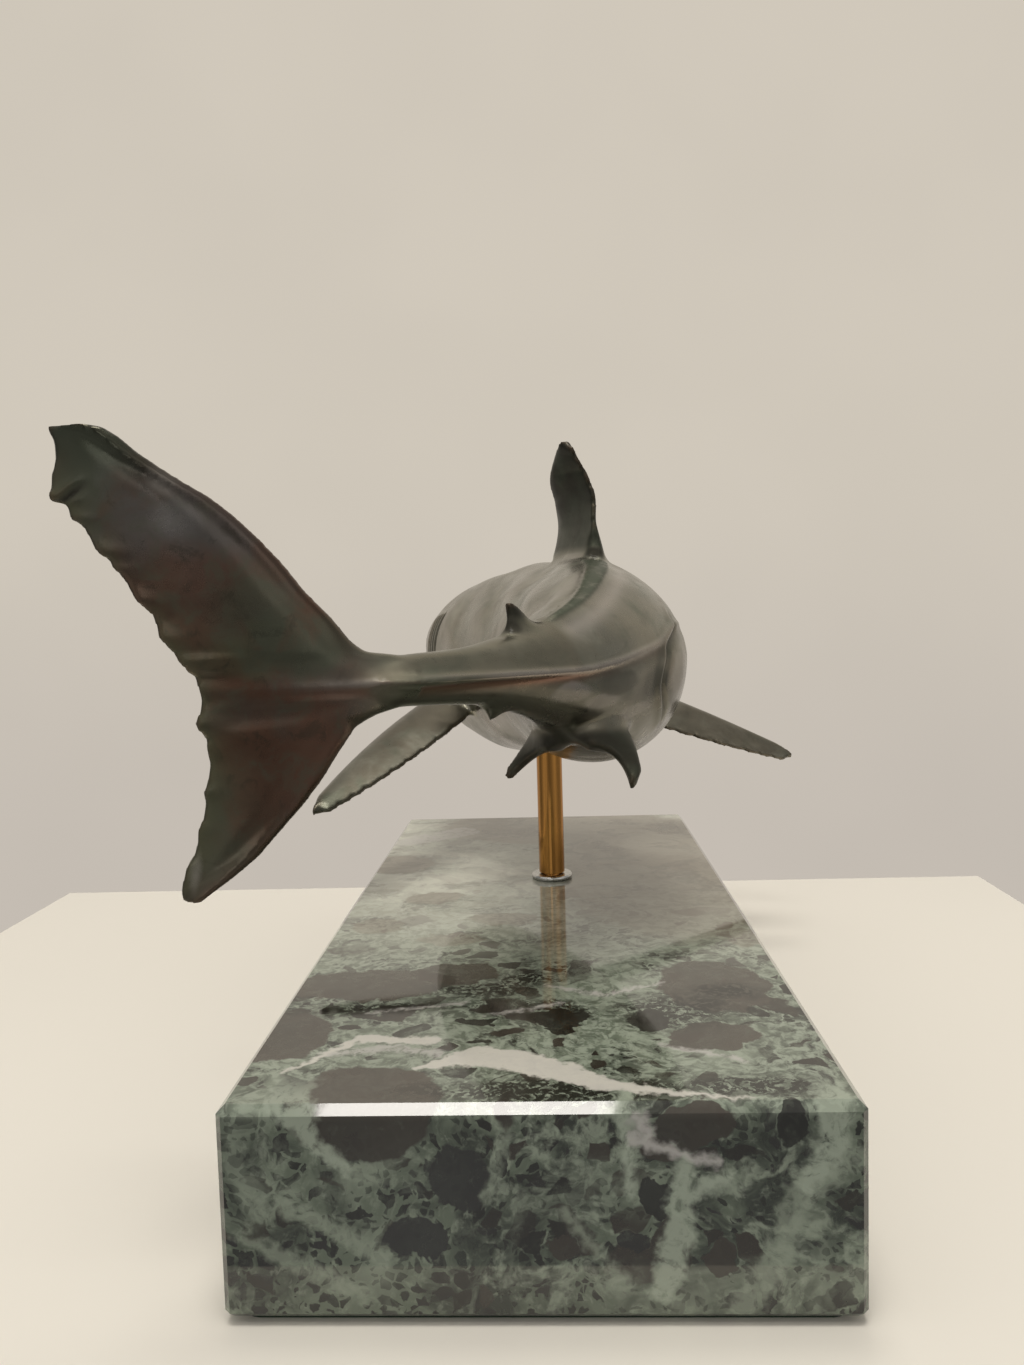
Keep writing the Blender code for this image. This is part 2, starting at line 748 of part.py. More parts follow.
def fin_on_axis(name, station, rings, base_height, flip=1, lean=None):
    """A fin over the back or under the belly, which follows the bend of the body."""
    placed = []
    for ring in rings:
        side = ring[:, 2].copy()
        if lean is not None:
            side += lean(ring)
        height = flip * (base_height + ring[:, 1])
        placed.append([tuple(p) for p in from_axis(station + ring[:, 0], side, height)])
    return facing_out(add_object(name, *loft(placed), BRONZE, 40))


def trim_to_body(fin, skin):
    boolean(fin, skin)
    return fin


def dorsal_fin(skin):
    base = float(half_sizes(station_of["dorsal"] + DORSAL_BASE / 2)[0])
    shape = simple_outline(
        base=DORSAL_BASE, height=DORSAL_HEIGHT, sweep=DORSAL_SWEEP, tip=DORSAL_TIP,
        bulge=DORSAL_BULGE, hollow=DORSAL_HOLLOW, root_depth=DORSAL_ROOT)
    rings = blade(*shape, rows=18, thickness=DORSAL_THICKNESS, tip_thickness=FIN_TIP_THICKNESS,
                  scallops=DORSAL_SCALLOPS, flare=DORSAL_FLARE)
    shares = [point[0] for point in DORSAL_SET]
    middle = smooth_through(shares, [point[1] for point in DORSAL_SET])
    opening = smooth_through(shares, [point[2] for point in DORSAL_SET])

    def lean(ring):
        rise = np.clip(ring[:, 1] / DORSAL_HEIGHT, 0, 1)
        span = ring[:, 0].max() - ring[:, 0].min()
        chord = (ring[:, 0] - ring[:, 0].min()) / span
        return DORSAL_HEIGHT * (middle(rise) + opening(rise) * (2 * chord - 1))

    return trim_to_body(fin_on_axis("dorsal_fin", station_of["dorsal"], rings, base, 1, lean), skin)


def second_dorsal_fin(skin):
    base = float(half_sizes(station_of["second_dorsal"] + SECOND_DORSAL_BASE / 2)[0])
    shape = simple_outline(
        base=SECOND_DORSAL_BASE, height=SECOND_DORSAL_HEIGHT,
        sweep=SECOND_DORSAL_SWEEP, tip=SECOND_DORSAL_TIP,
        bulge=SMALL_FIN_BULGE, hollow=SMALL_FIN_BULGE, root_depth=SMALL_FIN_ROOT)
    rings = blade(*shape, rows=8, thickness=SECOND_DORSAL_THICKNESS, tip_thickness=SMALL_TIP_THICKNESS)
    return trim_to_body(fin_on_axis("second_dorsal_fin", station_of["second_dorsal"], rings, base), skin)


def anal_fin(skin):
    base = float(half_sizes(station_of["anal"] + ANAL_BASE / 2)[1])
    shape = simple_outline(
        base=ANAL_BASE, height=ANAL_HEIGHT, sweep=ANAL_SWEEP, tip=ANAL_TIP,
        bulge=SMALL_FIN_BULGE, hollow=SMALL_FIN_BULGE, root_depth=SMALL_FIN_ROOT)
    rings = blade(*shape, rows=8, thickness=ANAL_THICKNESS, tip_thickness=SMALL_TIP_THICKNESS)
    return trim_to_body(fin_on_axis("anal_fin", station_of["anal"], rings, base, -1), skin)


def paired_fin(name, station, pose, rings, skin):
    """A fin on one flank. Its span points out and down and its trailing edge hangs lower than its lead."""
    root_side, root_drop, droop, incidence = pose
    flank = 1 if name.startswith("right") else -1
    tilt = math.radians(droop)
    pitch = math.radians(incidence)
    forward, right = body_frame(station)
    up = np.array((0.0, 0.0, 1.0))
    span = right * flank * math.cos(tilt) - up * math.sin(tilt)
    chord = -forward * math.cos(pitch) - up * math.sin(pitch)
    chord -= span * chord.dot(span)
    chord /= np.linalg.norm(chord)
    normal = np.cross(span, chord)
    root = from_axis(station, flank * root_side * BODY_WIDTH / 2, -root_drop * BELLY_DEPTH)
    placed = []
    for ring in rings:
        points = root + ring[:, :1] * chord + ring[:, 1:2] * span + ring[:, 2:] * normal
        placed.append([tuple(p) for p in points])
    return trim_to_body(facing_out(add_object(name, *loft(placed), BRONZE, 40)), skin)


def pectoral_fins(skin):
    shape = simple_outline(
        base=PECTORAL_CHORD, height=PECTORAL_SPAN, sweep=PECTORAL_SWEEP, tip=PECTORAL_TIP,
        bulge=PECTORAL_BULGE, hollow=-PECTORAL_FULLNESS, root_depth=PECTORAL_ROOT)
    rings = blade(*shape, rows=24, thickness=PECTORAL_THICKNESS, tip_thickness=FIN_TIP_THICKNESS,
                  scallops=PECTORAL_SCALLOPS, flare=PECTORAL_FLARE)
    for name, pose in PECTORAL_POSES.items():
        paired_fin(name, station_of["pectoral"], pose, rings, skin)


def pelvic_fins(skin):
    shape = simple_outline(
        base=PELVIC_CHORD, height=PELVIC_SPAN, sweep=PELVIC_SWEEP, tip=PELVIC_TIP,
        bulge=PELVIC_BULGE, hollow=PELVIC_HOLLOW, root_depth=PELVIC_ROOT)
    rings = blade(*shape, rows=12, thickness=PELVIC_THICKNESS, tip_thickness=FIN_TIP_THICKNESS,
                  flare=PELVIC_FLARE)
    for name, pose in PELVIC_POSES.items():
        paired_fin(name, station_of["pelvic"], pose, rings, skin)


def scaled(points, reach, height):
    return [(b * reach, o * height) for b, o in points]


def caudal_core(start):
    """Rings that carry the tail root's section, keels and all, back into the lobes."""
    rings = []
    angles = np.linspace(0, 2 * np.pi, BODY_SIDES, endpoint=False)
    side, height = section(np.full(BODY_SIDES, BODY_LENGTH), angles)
    for share in np.linspace(0, 1, 9):
        fade = ease(share)
        narrow = side * (1 - 0.88 * fade)
        low = height * (1 - 0.55 * fade) + CAUDAL_CORE_LIFT * fade
        station = np.full(BODY_SIDES, start + CAUDAL_CORE_LENGTH * share)
        rings.append([tuple(p) for p in from_axis(station, narrow, low)])
    return rings


def caudal_fin():
    start = BODY_LENGTH + SEAT_GAP
    fin = facing_out(add_object("caudal_fin", *loft(caudal_core(start)), BRONZE, 40))
    upper = blade(scaled(UPPER_LOBE_LEAD, UPPER_LOBE_REACH, UPPER_LOBE_HEIGHT),
                  scaled(UPPER_LOBE_TRAIL, UPPER_LOBE_REACH, UPPER_LOBE_HEIGHT),
                  rows=37, thickness=LOBE_THICKNESS, tip_thickness=FIN_TIP_THICKNESS, scallops=UPPER_SCALLOPS)
    lower = blade(scaled(LOWER_LOBE_LEAD, LOWER_LOBE_REACH, LOWER_LOBE_HEIGHT),
                  scaled(LOWER_LOBE_TRAIL, LOWER_LOBE_REACH, LOWER_LOBE_HEIGHT),
                  rows=31, thickness=LOBE_THICKNESS, tip_thickness=FIN_TIP_THICKNESS, scallops=LOWER_SCALLOPS)
    for name, rings, flip in (("upper_lobe", upper, 1), ("lower_lobe", lower, -1)):
        lobe = fin_on_axis(name, start, rings, 0.0, flip)
        boolean(fin, as_cutter(lobe), "UNION")
    return fin


def build_shark():
    body_casting()
    for side, flank in (("right", 1), ("left", -1)):
        ball(side + "_eye", eye_centre(flank), EYE_DIAMETER / 2, EYE_BRONZE)
    skin = as_cutter(facing_out(add_object("body_skin", *loft(body_rings(SEAT_GAP)))))
    dorsal_fin(skin)
    second_dorsal_fin(skin)
    anal_fin(skin)
    pectoral_fins(skin)
    pelvic_fins(skin)
    caudal_fin()


def build_stand():
    foot_felt()
    chamfered_block()
    support_rod()
    washer("foot_washer", FOOT_WASHER_DIAMETER, FOOT_WASHER_THICKNESS, marble_top + SEAT_GAP)
    washer("clamp_washer", CLAMP_WASHER_DIAMETER, CLAMP_WASHER_THICKNESS, nut_top + SEAT_GAP)
    clamp_nut()
    mounting_boss()


clear_scene()
build_stand()
build_shark()
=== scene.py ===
import math
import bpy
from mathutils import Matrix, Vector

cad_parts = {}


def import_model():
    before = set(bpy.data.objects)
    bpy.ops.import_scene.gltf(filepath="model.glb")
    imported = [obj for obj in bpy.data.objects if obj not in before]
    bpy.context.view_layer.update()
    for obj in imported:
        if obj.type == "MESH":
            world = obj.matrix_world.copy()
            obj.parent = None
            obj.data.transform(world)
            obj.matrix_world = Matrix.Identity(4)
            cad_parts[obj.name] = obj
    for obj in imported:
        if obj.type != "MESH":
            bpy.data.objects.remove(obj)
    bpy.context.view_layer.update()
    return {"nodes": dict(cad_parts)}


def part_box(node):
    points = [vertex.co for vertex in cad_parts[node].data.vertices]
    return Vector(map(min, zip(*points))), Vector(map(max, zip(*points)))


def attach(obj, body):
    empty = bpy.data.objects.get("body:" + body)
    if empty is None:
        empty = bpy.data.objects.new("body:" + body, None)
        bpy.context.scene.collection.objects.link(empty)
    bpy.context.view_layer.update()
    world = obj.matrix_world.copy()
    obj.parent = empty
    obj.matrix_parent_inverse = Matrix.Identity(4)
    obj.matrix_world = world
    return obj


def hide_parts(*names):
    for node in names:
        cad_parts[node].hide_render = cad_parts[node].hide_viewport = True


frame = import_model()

from types import SimpleNamespace

import bmesh
import bpy
import numpy as np
from mathutils import Matrix, Vector

# A patinated bronze shark in a C-shaped bend, on a brass rod over a green marble block.
# Metres, +Z up, the head towards +Y. Stations run from the snout to the tail along the bend.

print("frame loaded:", len(frame["nodes"]), "nodes")


# Curves

def smoothThrough(places, values):
    x = np.asarray(places, float)
    y = np.asarray(values, float)
    step = np.diff(x)
    slope = np.diff(y) / step
    tangent = np.zeros(len(x))
    for i in range(1, len(x) - 1):
        if slope[i - 1] * slope[i] > 0:
            before = 2 * step[i] + step[i - 1]
            after = step[i] + 2 * step[i - 1]
            tangent[i] = (before + after) / (before / slope[i - 1] + after / slope[i])
    tangent[0] = slope[0]
    tangent[-1] = slope[-1]

    def value(t):
        t = np.clip(t, x[0], x[-1])
        i = np.clip(np.searchsorted(x, t) - 1, 0, len(x) - 2)
        u = (t - x[i]) / step[i]
        start = (1 + 2 * u) * (1 - u) ** 2 * y[i] + u * (1 - u) ** 2 * step[i] * tangent[i]
        end = u * u * (3 - 2 * u) * y[i + 1] + u * u * (u - 1) * step[i] * tangent[i + 1]
        return start + end

    return value


def ease(t):
    t = np.clip(t, 0, 1)
    return t * t * (3 - 2 * t)


def bump(value, centre, width):
    return np.exp(-((value - centre) / width) ** 2)


def after(value, place, soft):
    # 0 up to a place, then rising to 1 over the soft length
    return ease((value - place) / soft)


def before(value, place, soft):
    # 0 from a place on, and 1 by the soft length short of it
    return ease((place - value) / soft)


def until(value, place, soft):
    # 1 up to a place, then falling to 0 over the soft length
    return 1 - ease((value - place) / soft)


def waves(value, shapes):
    # ridges and hollows side by side: the rise, place and width of each
    return sum(rise * bump(value, place, width) for rise, place, width in shapes)


# The body's lines. Its shares are of the body's length and of its largest back, belly and side.
body = {
    "length": 0.331, "back": 0.0375, "belly": 0.0435, "side": 0.0355,
    "axisHeight": 0.1371, "tailRise": 0.0012, "snoutRounding": 0.009,
    "tailRootHeight": 0.0065, "tailRootSide": 0.00625,
    "keelReach": 0.0036, "keelLength": 0.075, "keelSpread": 0.20,
    "rodStation": 0.176, "rodPlace": (0.0038, 0.0322), "rodOffset": 0.0115,
    "heading": (
        (0.00, 14), (0.18, 20), (0.35, 28), (0.53, 15), (0.616, 3), (0.692, -7),
        (0.767, -20), (0.873, -34), (1.00, -50), (1.063, -62), (1.124, -69), (1.35, -80),
    ),
    "lines": (
        (0.000, 0.20, 0.16, 0.18), (0.030, 0.33, 0.24, 0.30), (0.085, 0.52, 0.46, 0.52),
        (0.166, 0.70, 0.73, 0.68), (0.257, 0.845, 0.94, 0.83), (0.350, 0.945, 1.00, 0.94),
        (0.453, 1.00, 0.965, 1.00), (0.532, 1.00, 0.90, 1.00), (0.616, 0.955, 0.87, 0.965),
        (0.692, 0.82, 0.75, 0.86), (0.767, 0.60, 0.56, 0.62), (0.873, 0.32, 0.29, 0.33),
        (0.943, 0.205, 0.175, 0.215),
    ),
    "backPower": ((0.0, 2.0), (0.26, 1.95), (0.45, 1.80), (0.62, 1.70), (0.80, 1.80), (1.0, 2.0)),
    "rings": 230, "sides": 128, "crowding": 1.35,
}

headingShare = smoothThrough(*zip(*((share, math.radians(turn)) for share, turn in body["heading"])))
backPower = smoothThrough(*zip(*body["backPower"]))


def bodyLine(column, tailShare):
    return smoothThrough([line[0] for line in body["lines"]] + [1.0],
                         [line[column] for line in body["lines"]] + [tailShare])


backShare = bodyLine(1, body["tailRootHeight"] / body["back"])
bellyShare = bodyLine(2, body["tailRootHeight"] / body["belly"])
sideShare = bodyLine(3, body["tailRootSide"] / body["side"])


def swimmingLine():
    stations = np.linspace(0, 1.4 * body["length"], 1401)
    heading = headingShare(stations / body["length"])
    step = stations[1] - stations[0]
    middle = (heading[1:] + heading[:-1]) / 2
    x = np.concatenate([[0], np.cumsum(np.sin(middle) * step)])
    y = np.concatenate([[0], np.cumsum(-np.cos(middle) * step)])
    rodX, rodY = body["rodPlace"]
    x += rodX + body["rodOffset"] - np.interp(body["rodStation"], stations, x)
    y += rodY - np.interp(body["rodStation"], stations, y)
    return stations, x, y


lineStations, lineX, lineY = swimmingLine()


def halfSizes(station):
    share = np.asarray(station) / body["length"]
    nose = np.clip(np.asarray(station) / body["snoutRounding"], 0, 1)
    rounding = np.sqrt(np.clip(1 - (1 - nose) ** 2, 0, 1))
    return (body["back"] * backShare(share) * rounding, body["belly"] * bellyShare(share) * rounding,
            body["side"] * sideShare(share) * rounding)


def axisPoint(station):
    station = np.asarray(station, float)
    rise = body["tailRise"] * ease((station - body["rodStation"]) / (body["length"] - body["rodStation"]))
    return np.stack([np.interp(station, lineStations, lineX), np.interp(station, lineStations, lineY),
                     body["axisHeight"] + rise], -1)


def bodyFrame(station):
    heading = headingShare(np.asarray(station) / body["length"])
    zero = np.zeros_like(heading)
    return (np.stack([-np.sin(heading), np.cos(heading), zero], -1),
            np.stack([np.cos(heading), np.sin(heading), zero], -1))


def fromAxis(station, side, height):
    point = axisPoint(station) + bodyFrame(station)[1] * np.asarray(side)[..., None]
    point[..., 2] += height
    return point


def section(station, angle):
    back, belly, side = halfSizes(station)
    keel = body["keelReach"] * after(station, body["length"] - body["keelLength"], body["keelLength"])
    power = backPower(station / body["length"])
    across = np.cos(angle)
    rise = np.sin(angle)
    over = rise > 0
    bend = np.where(over, 2 / power, 1.0)
    flank = np.arcsin(np.clip(np.abs(rise), 0, 1))
    reach = side + keel * np.exp(-(flank / body["keelSpread"]) ** 2)
    tall = np.where(over, back, belly)
    return np.sign(across) * np.abs(across) ** bend * reach, np.sign(rise) * np.abs(rise) ** bend * tall


# Lofts: lists of closed rings become one mesh

def loftParts(rings):
    vertices = []
    faces = []
    starts = []
    for ring in rings:
        starts.append(len(vertices))
        vertices.extend(tuple(p) for p in ring)
    for k in range(len(rings) - 1):
        first, second = starts[k], starts[k + 1]
        a, b = len(rings[k]), len(rings[k + 1])
        for i in range(max(a, b)):
            j = (i + 1) % max(a, b)
            if a == 1:
                faces.append((first, second + j, second + i))
            elif b == 1:
                faces.append((first + i, first + j, second))
            else:
                faces.append((first + i, first + j, second + j, second + i))
    if len(rings[0]) > 1:
        faces.append(tuple(starts[0] + i for i in reversed(range(len(rings[0])))))
    if len(rings[-1]) > 1:
        faces.append(tuple(starts[-1] + i for i in range(len(rings[-1]))))
    return vertices, faces


def newThing(name, vertices, faces):
    mesh = bpy.data.meshes.new(name)
    mesh.from_pydata(vertices, [], faces)
    thing = bpy.data.objects.new(name, mesh)
    bpy.context.scene.collection.objects.link(thing)
    return thing


def joined(name, lofts):
    vertices = []
    faces = []
    for rings in lofts:
        more, corners = loftParts(rings)
        faces.extend(tuple(len(vertices) + i for i in face) for face in corners)
        vertices.extend(more)
    thing = newThing(name, vertices, faces)
    outwards(thing)
    return thing


def outwards(thing):
    work = bmesh.new()
    work.from_mesh(thing.data)
    bmesh.ops.recalc_face_normals(work, faces=work.faces)
    work.to_mesh(thing.data)
    work.free()


def settled(thing):
    bpy.context.view_layer.update()
    graph = bpy.context.evaluated_depsgraph_get()
    made = bpy.data.meshes.new_from_object(thing.evaluated_get(graph))
    thing.modifiers.clear()
    thing.data = made
    return thing


# Fins. A blade is made of rows from its root to its tip. Each row is a lens from lead to trail, thinner
# towards the trail.

bladeForm = {"columns": 26, "edge": 0.0015, "fullness": 2.6, "notchFrom": 0.90,
             "tipFrom": 0.93, "tipClose": 0.85, "noseBlunt": 4, "widest": 0.6, "least": 0.0004,
             "pocket": 1.2, "pocketMost": 0.09}


def bladeRings(lead, trail, notches, thickness, sway=None, rear=None):
    share = (1 - np.cos(np.linspace(0, np.pi, bladeForm["columns"] + 1))) / 2
    swell = bladeForm["fullness"] * np.sqrt(share) * (1 - share)
    nearRear = after(share, bladeForm["notchFrom"], 1 - bladeForm["notchFrom"])
    edge = bladeForm["edge"] / 2
    rings = []
    for row, (front, back, notch, thick) in enumerate(zip(lead, trail, notches, thickness)):
        chord = back - front
        width = np.linalg.norm(chord)
        blunt = edge if rear is None else max(rear[row], edge)
        half = thick / 2 * swell + blunt * np.minimum(1, bladeForm["noseBlunt"] * share)
        half = np.minimum(half, width * bladeForm["widest"] + bladeForm["least"])
        places = front + chord * share[:, None] + notch * nearRear[:, None]
        side = np.zeros(len(share)) if sway is None else sway(places, share)
        over = [(*p, s + h) for p, s, h in zip(places[1:], side[1:], half[1:])]
        under = [(*p, s - h) for p, s, h in zip(places[1:], side[1:], half[1:])][::-1]
        pocket = min(bladeForm["pocketMost"], bladeForm["pocket"] * (blunt - edge) / width)
        pocket = places[-1] - chord * pocket
        rings.append(np.array([(*front, side[0])] + over + [(*pocket, side[-1])] + under))
    return rings


def notchDepths(trail, lead, notches, depth):
    t = np.linspace(0, 1, len(trail))
    cut = np.zeros(len(t))
    for place, width, share in notches:
        cut = np.maximum(cut, share * np.clip(1 - np.abs(t - place) / width, 0, 1) ** 1.6)
    chord = lead - trail
    return chord / np.maximum(np.linalg.norm(chord, axis=1), 1e-6)[:, None] * (cut * depth)[:, None]


def sweptOutline(shape, rows):
    t = np.linspace(0, 1, rows)
    sunk = -shape["root"]
    arch = 4 * t * (1 - t)
    lead = np.stack([shape["sweep"] * t - shape["bulge"] * arch, shape["height"] * t], -1)
    reach = shape["sweep"] + shape["tip"] - shape["base"]
    trail = np.stack([shape["base"] + reach * t - shape["hollow"] * arch, shape["height"] * 0.985 * t], -1)
    notches = notchDepths(trail, lead, shape["notches"], shape["notchDepth"])
    tip = bladeForm["tipFrom"]
    close = 1 - bladeForm["tipClose"] * after(t, tip, 1 - tip)[:, None]
    middle = (lead + trail) / 2
    lead = middle + (lead - middle) * close
    trail = middle + (trail - middle) * close
    lead = np.concatenate([[(lead[0, 0], sunk)], lead])
    trail = np.concatenate([[(trail[0, 0], sunk)], trail])
    notches = np.concatenate([[(0, 0)], notches])
    t = np.concatenate([[0.0], t])
    thick = shape["thickness"] + (shape["tipThickness"] - shape["thickness"]) * t ** 0.8
    thick = thick + shape["flare"] * np.exp(-t * shape.get("flareEase", 11.0))
    return lead, trail, notches, thick


def finOnAxis(station, rings, baseHeight, flip=1, lean=None):
    placed = []
    for ring in rings:
        side = ring[:, 2].copy()
        if lean is not None:
            side = side + lean(ring)
        placed.append(fromAxis(station + ring[:, 0], side, flip * (baseHeight + ring[:, 1])))
    return placed


dorsal = {
    "station": 0.163, "base": 0.042, "height": 0.0412, "sweep": 0.031, "tip": 0.009, "bulge": 0.0060,
    "hollow": 0.0030, "root": 0.010, "thickness": 0.0085, "tipThickness": 0.0024, "flare": 0.0035,
    "notchDepth": 0.0012, "rearWidth": 0.0044, "rearReach": 0.42, "rows": 90,
    "notches": ((0.13, 0.035, 1.0), (0.30, 0.03, 0.6), (0.47, 0.04, 0.8), (0.62, 0.03, 0.7),
                (0.74, 0.035, 1.0), (0.87, 0.03, 0.8)),
    # height share, then the middle's lean to the right and the chord's opening, as shares of the height
    "set": ((0.0, 0.023, 0.052), (0.30, 0.005, 0.060), (0.50, -0.027, 0.098),
            (0.69, -0.106, 0.116), (0.85, -0.152, 0.068), (0.94, -0.162, 0.034), (1.0, -0.172, 0.012)),
}


def dorsalRings():
    lead, trail, notches, thick = sweptOutline(dorsal, dorsal["rows"])
    rise = np.clip(trail[:, 1] / dorsal["height"], 0, 1)
    rear = dorsal["rearWidth"] / 2 * (1 - ease(rise / dorsal["rearReach"]))
    rings = bladeRings(lead, trail, notches, thick, None, rear)
    shares, leans, openings = zip(*dorsal["set"])
    middle = smoothThrough(shares, leans)
    opening = smoothThrough(shares, openings)

    def lean(ring):
        up = np.clip(ring[:, 1] / dorsal["height"], 0, 1)
        reach = np.ptp(ring[:, 0])
        chord = (ring[:, 0] - ring[:, 0].min()) / max(reach, 1e-6)
        return dorsal["height"] * (middle(up) + opening(up) * (2 * chord - 1))

    base = float(halfSizes(dorsal["station"] + dorsal["base"] / 2)[0])
    return finOnAxis(dorsal["station"], rings, base, 1, lean)


smallFins = {
    "second dorsal": {
        "station": 0.280, "base": 0.0163, "height": 0.0070, "sweep": 0.0135, "tip": 0.0018, "bulge": 0.0007,
        "hollow": 0.0010, "root": 0.004, "thickness": 0.0030, "tipThickness": 0.0014, "flare": 0.0015,
        "notches": (), "notchDepth": 0.0, "flip": 1, "rows": 26,
    },
    "anal": {
        "station": 0.2926, "base": 0.0137, "height": 0.0036, "sweep": 0.0105, "tip": 0.0016, "bulge": 0.0007,
        "hollow": 0.0007, "root": 0.004, "thickness": 0.0028, "tipThickness": 0.0014, "flare": 0.0012,
        "notches": (), "notchDepth": 0.0, "flip": -1, "rows": 26,
    },
}


def smallFinRings(shape):
    rings = bladeRings(*sweptOutline(shape, shape["rows"]))
    size = halfSizes(shape["station"] + shape["base"] / 2)[0 if shape["flip"] > 0 else 1]
    return finOnAxis(shape["station"], rings, float(size), shape["flip"])


def pairedFinRings(shape, flank, pose):
    side, drop, droop, incidence = pose
    tilt = math.radians(droop)
    pitch = math.radians(incidence)
    forward, right = bodyFrame(shape["station"])
    up = np.array((0.0, 0.0, 1.0))
    span = right * flank * math.cos(tilt) - up * math.sin(tilt)
    chord = -forward * math.cos(pitch) - up * math.sin(pitch)
    chord -= span * chord.dot(span)
    chord /= np.linalg.norm(chord)
    normal = np.cross(span, chord)
    if normal[2] < 0:
        normal = -normal
    root = fromAxis(np.array(shape["station"]), flank * side * body["side"], -drop * body["belly"])

    def sway(places, share):
        along = np.clip(places[:, 1] / shape["height"], 0, 1)
        return -shape["cup"] * (2 * share - 1) ** 2 * along - shape["curl"] * along ** 2

    rings = bladeRings(*sweptOutline(shape, shape["rows"]), sway)
    return [root + r[:, :1] * chord + r[:, 1:2] * span + r[:, 2:] * normal for r in rings]


pectoral = {
    "station": 0.101, "base": 0.0265, "height": 0.0853, "sweep": 0.0682, "tip": 0.0073, "bulge": 0.0070,
    "hollow": -0.0033, "root": 0.016, "thickness": 0.0078, "tipThickness": 0.0024, "flare": 0.004,
    "rows": 150, "cup": 0.0006, "curl": 0.0, "notchDepth": 0.0010,
    "notches": ((0.17, 0.03, 0.8), (0.29, 0.022, 1.0), (0.40, 0.03, 0.7), (0.49, 0.02, 1.0),
                (0.58, 0.025, 0.9), (0.66, 0.018, 0.6), (0.74, 0.022, 1.0), (0.81, 0.018, 0.8),
                (0.88, 0.02, 0.9)),
    # left and right: side and drop as shares of the body, droop and incidence in degrees
    "poses": {-1: (0.797, 0.363, 9.4, 18.0), 1: (0.899, 0.202, 0.6, 35.9)},
}

pelvic = {
    "station": 0.247, "base": 0.0260, "height": 0.0180, "sweep": 0.0170, "tip": 0.0038, "bulge": 0.0012,
    "hollow": 0.0042, "root": 0.008, "thickness": 0.0060, "tipThickness": 0.0032, "flare": 0.0080,
    "flareEase": 5.0, "rows": 50, "cup": 0.0003, "curl": 0.0, "notches": (), "notchDepth": 0.0,
    "poses": {-1: (0.296, 0.437, 40, 22), 1: (0.296, 0.437, 28.6, 8)},
    # what each side has of its own
    "own": {-1: {"base": 0.0225, "tip": 0.0014, "tipThickness": 0.0018, "thickness": 0.0052},
            1: {"height": 0.0166, "tip": 0.0062, "tipThickness": 0.0052, "curl": 0.0068}},
}

# The tail fin's edges as (station behind the tail root, height over the axis) in millimetres, tip to tip
tail = {
    "trail": (
        (54.3, -48.8), (56.0, -47.9), (56.3, -46.3), (55.8, -44.0), (54.7, -40.2), (52.7, -37.3),
        (52.0, -34.3), (51.8, -32.0), (50.5, -29.0), (49.8, -25.9), (50.2, -23.2), (49.1, -20.6),
        (48.3, -16.8), (49.0, -13.7), (49.2, -10.2), (50.9, -8.3), (51.2, -7.0), (50.2, -4.8),
        (49.5, -1.8), (50.2, 0.9), (50.7, 3.6), (51.9, 4.8), (52.7, 6.0), (54.7, 8.7), (57.1, 11.6),
        (58.0, 12.5), (58.4, 15.0), (58.9, 17.1), (60.2, 19.0), (61.9, 20.5), (62.7, 21.6), (64.3, 25.2),
        (66.0, 27.6), (66.9, 28.3), (67.6, 30.4), (69.3, 31.3), (70.6, 32.9), (71.1, 34.6), (72.4, 37.0),
        (73.2, 38.4), (75.1, 39.2), (75.4, 40.9), (76.0, 42.8), (78.7, 43.1), (78.8, 45.5), (78.5, 49.0),
        (77.6, 52.3), (77.7, 55.8), (78.4, 57.9), (79.1, 59.9),
    ),
    "lead": (
        (54.3, -48.8), (52.5, -48.4), (48.7, -45.9), (44.1, -42.9), (38.6, -38.8), (33.8, -33.7),
        (28.1, -28.0), (23.1, -22.1), (18.8, -16.0), (14.4, -10.4), (9.0, -7.5), (2.0, -6.3), (1.0, 0.0),
        (2.0, 6.5), (11.0, 7.6), (14.7, 10.6), (19.8, 16.7), (25.2, 22.3), (29.9, 28.6), (34.6, 33.9),
        (40.3, 39.6), (45.8, 44.1), (50.7, 47.0), (55.5, 50.2), (60.2, 53.5), (64.1, 57.0), (67.4, 59.1),
        (72.2, 59.6), (75.8, 60.0), (79.1, 59.95),
    ),
    "rows": 260, "columns": 37, "thickness": 0.0072, "tipThickness": 0.0030, "swell": (0.45, 0.96),
    "least": 0.0007, "bow": 0.0016, "bowCentre": 0.35,
    # flutes that run in from the scallops: smoothing in rows, reach, side sway, swell
    "calmRows": 16, "calmReach": 0.0012, "fluteFrom": 0.80, "scallopFrom": 0.86, "flute": 0.22,
    "fluteSwell": 0.12,
    # raised rim along the lead: height, place and width, then the hollow behind it
    "rim": 0.00050, "rimPlace": (0.0026, 0.0014), "rimHollow": 0.9, "hollowPlace": (0.0065, 0.0024),
    "coreLength": 0.036, "coreLift": 0.0018, "coreRings": 40, "coreOverlap": 0.001, "coreThin": (0.90, 0.55),
}


def heightCurve(points):
    points = np.asarray(points, float) / 1000
    heights = np.maximum.accumulate(points[:, 1] + np.arange(len(points)) * 1e-6)
    return lambda h: np.interp(h, heights, points[:, 0])


tailTrail = heightCurve(tail["trail"])
tailLead = heightCurve(tail["lead"])


def evened(values, reach):
    kernel = np.hanning(2 * reach + 3)[1:-1]
    return np.convolve(np.pad(values, reach, mode="edge"), kernel / kernel.sum(), mode="valid")


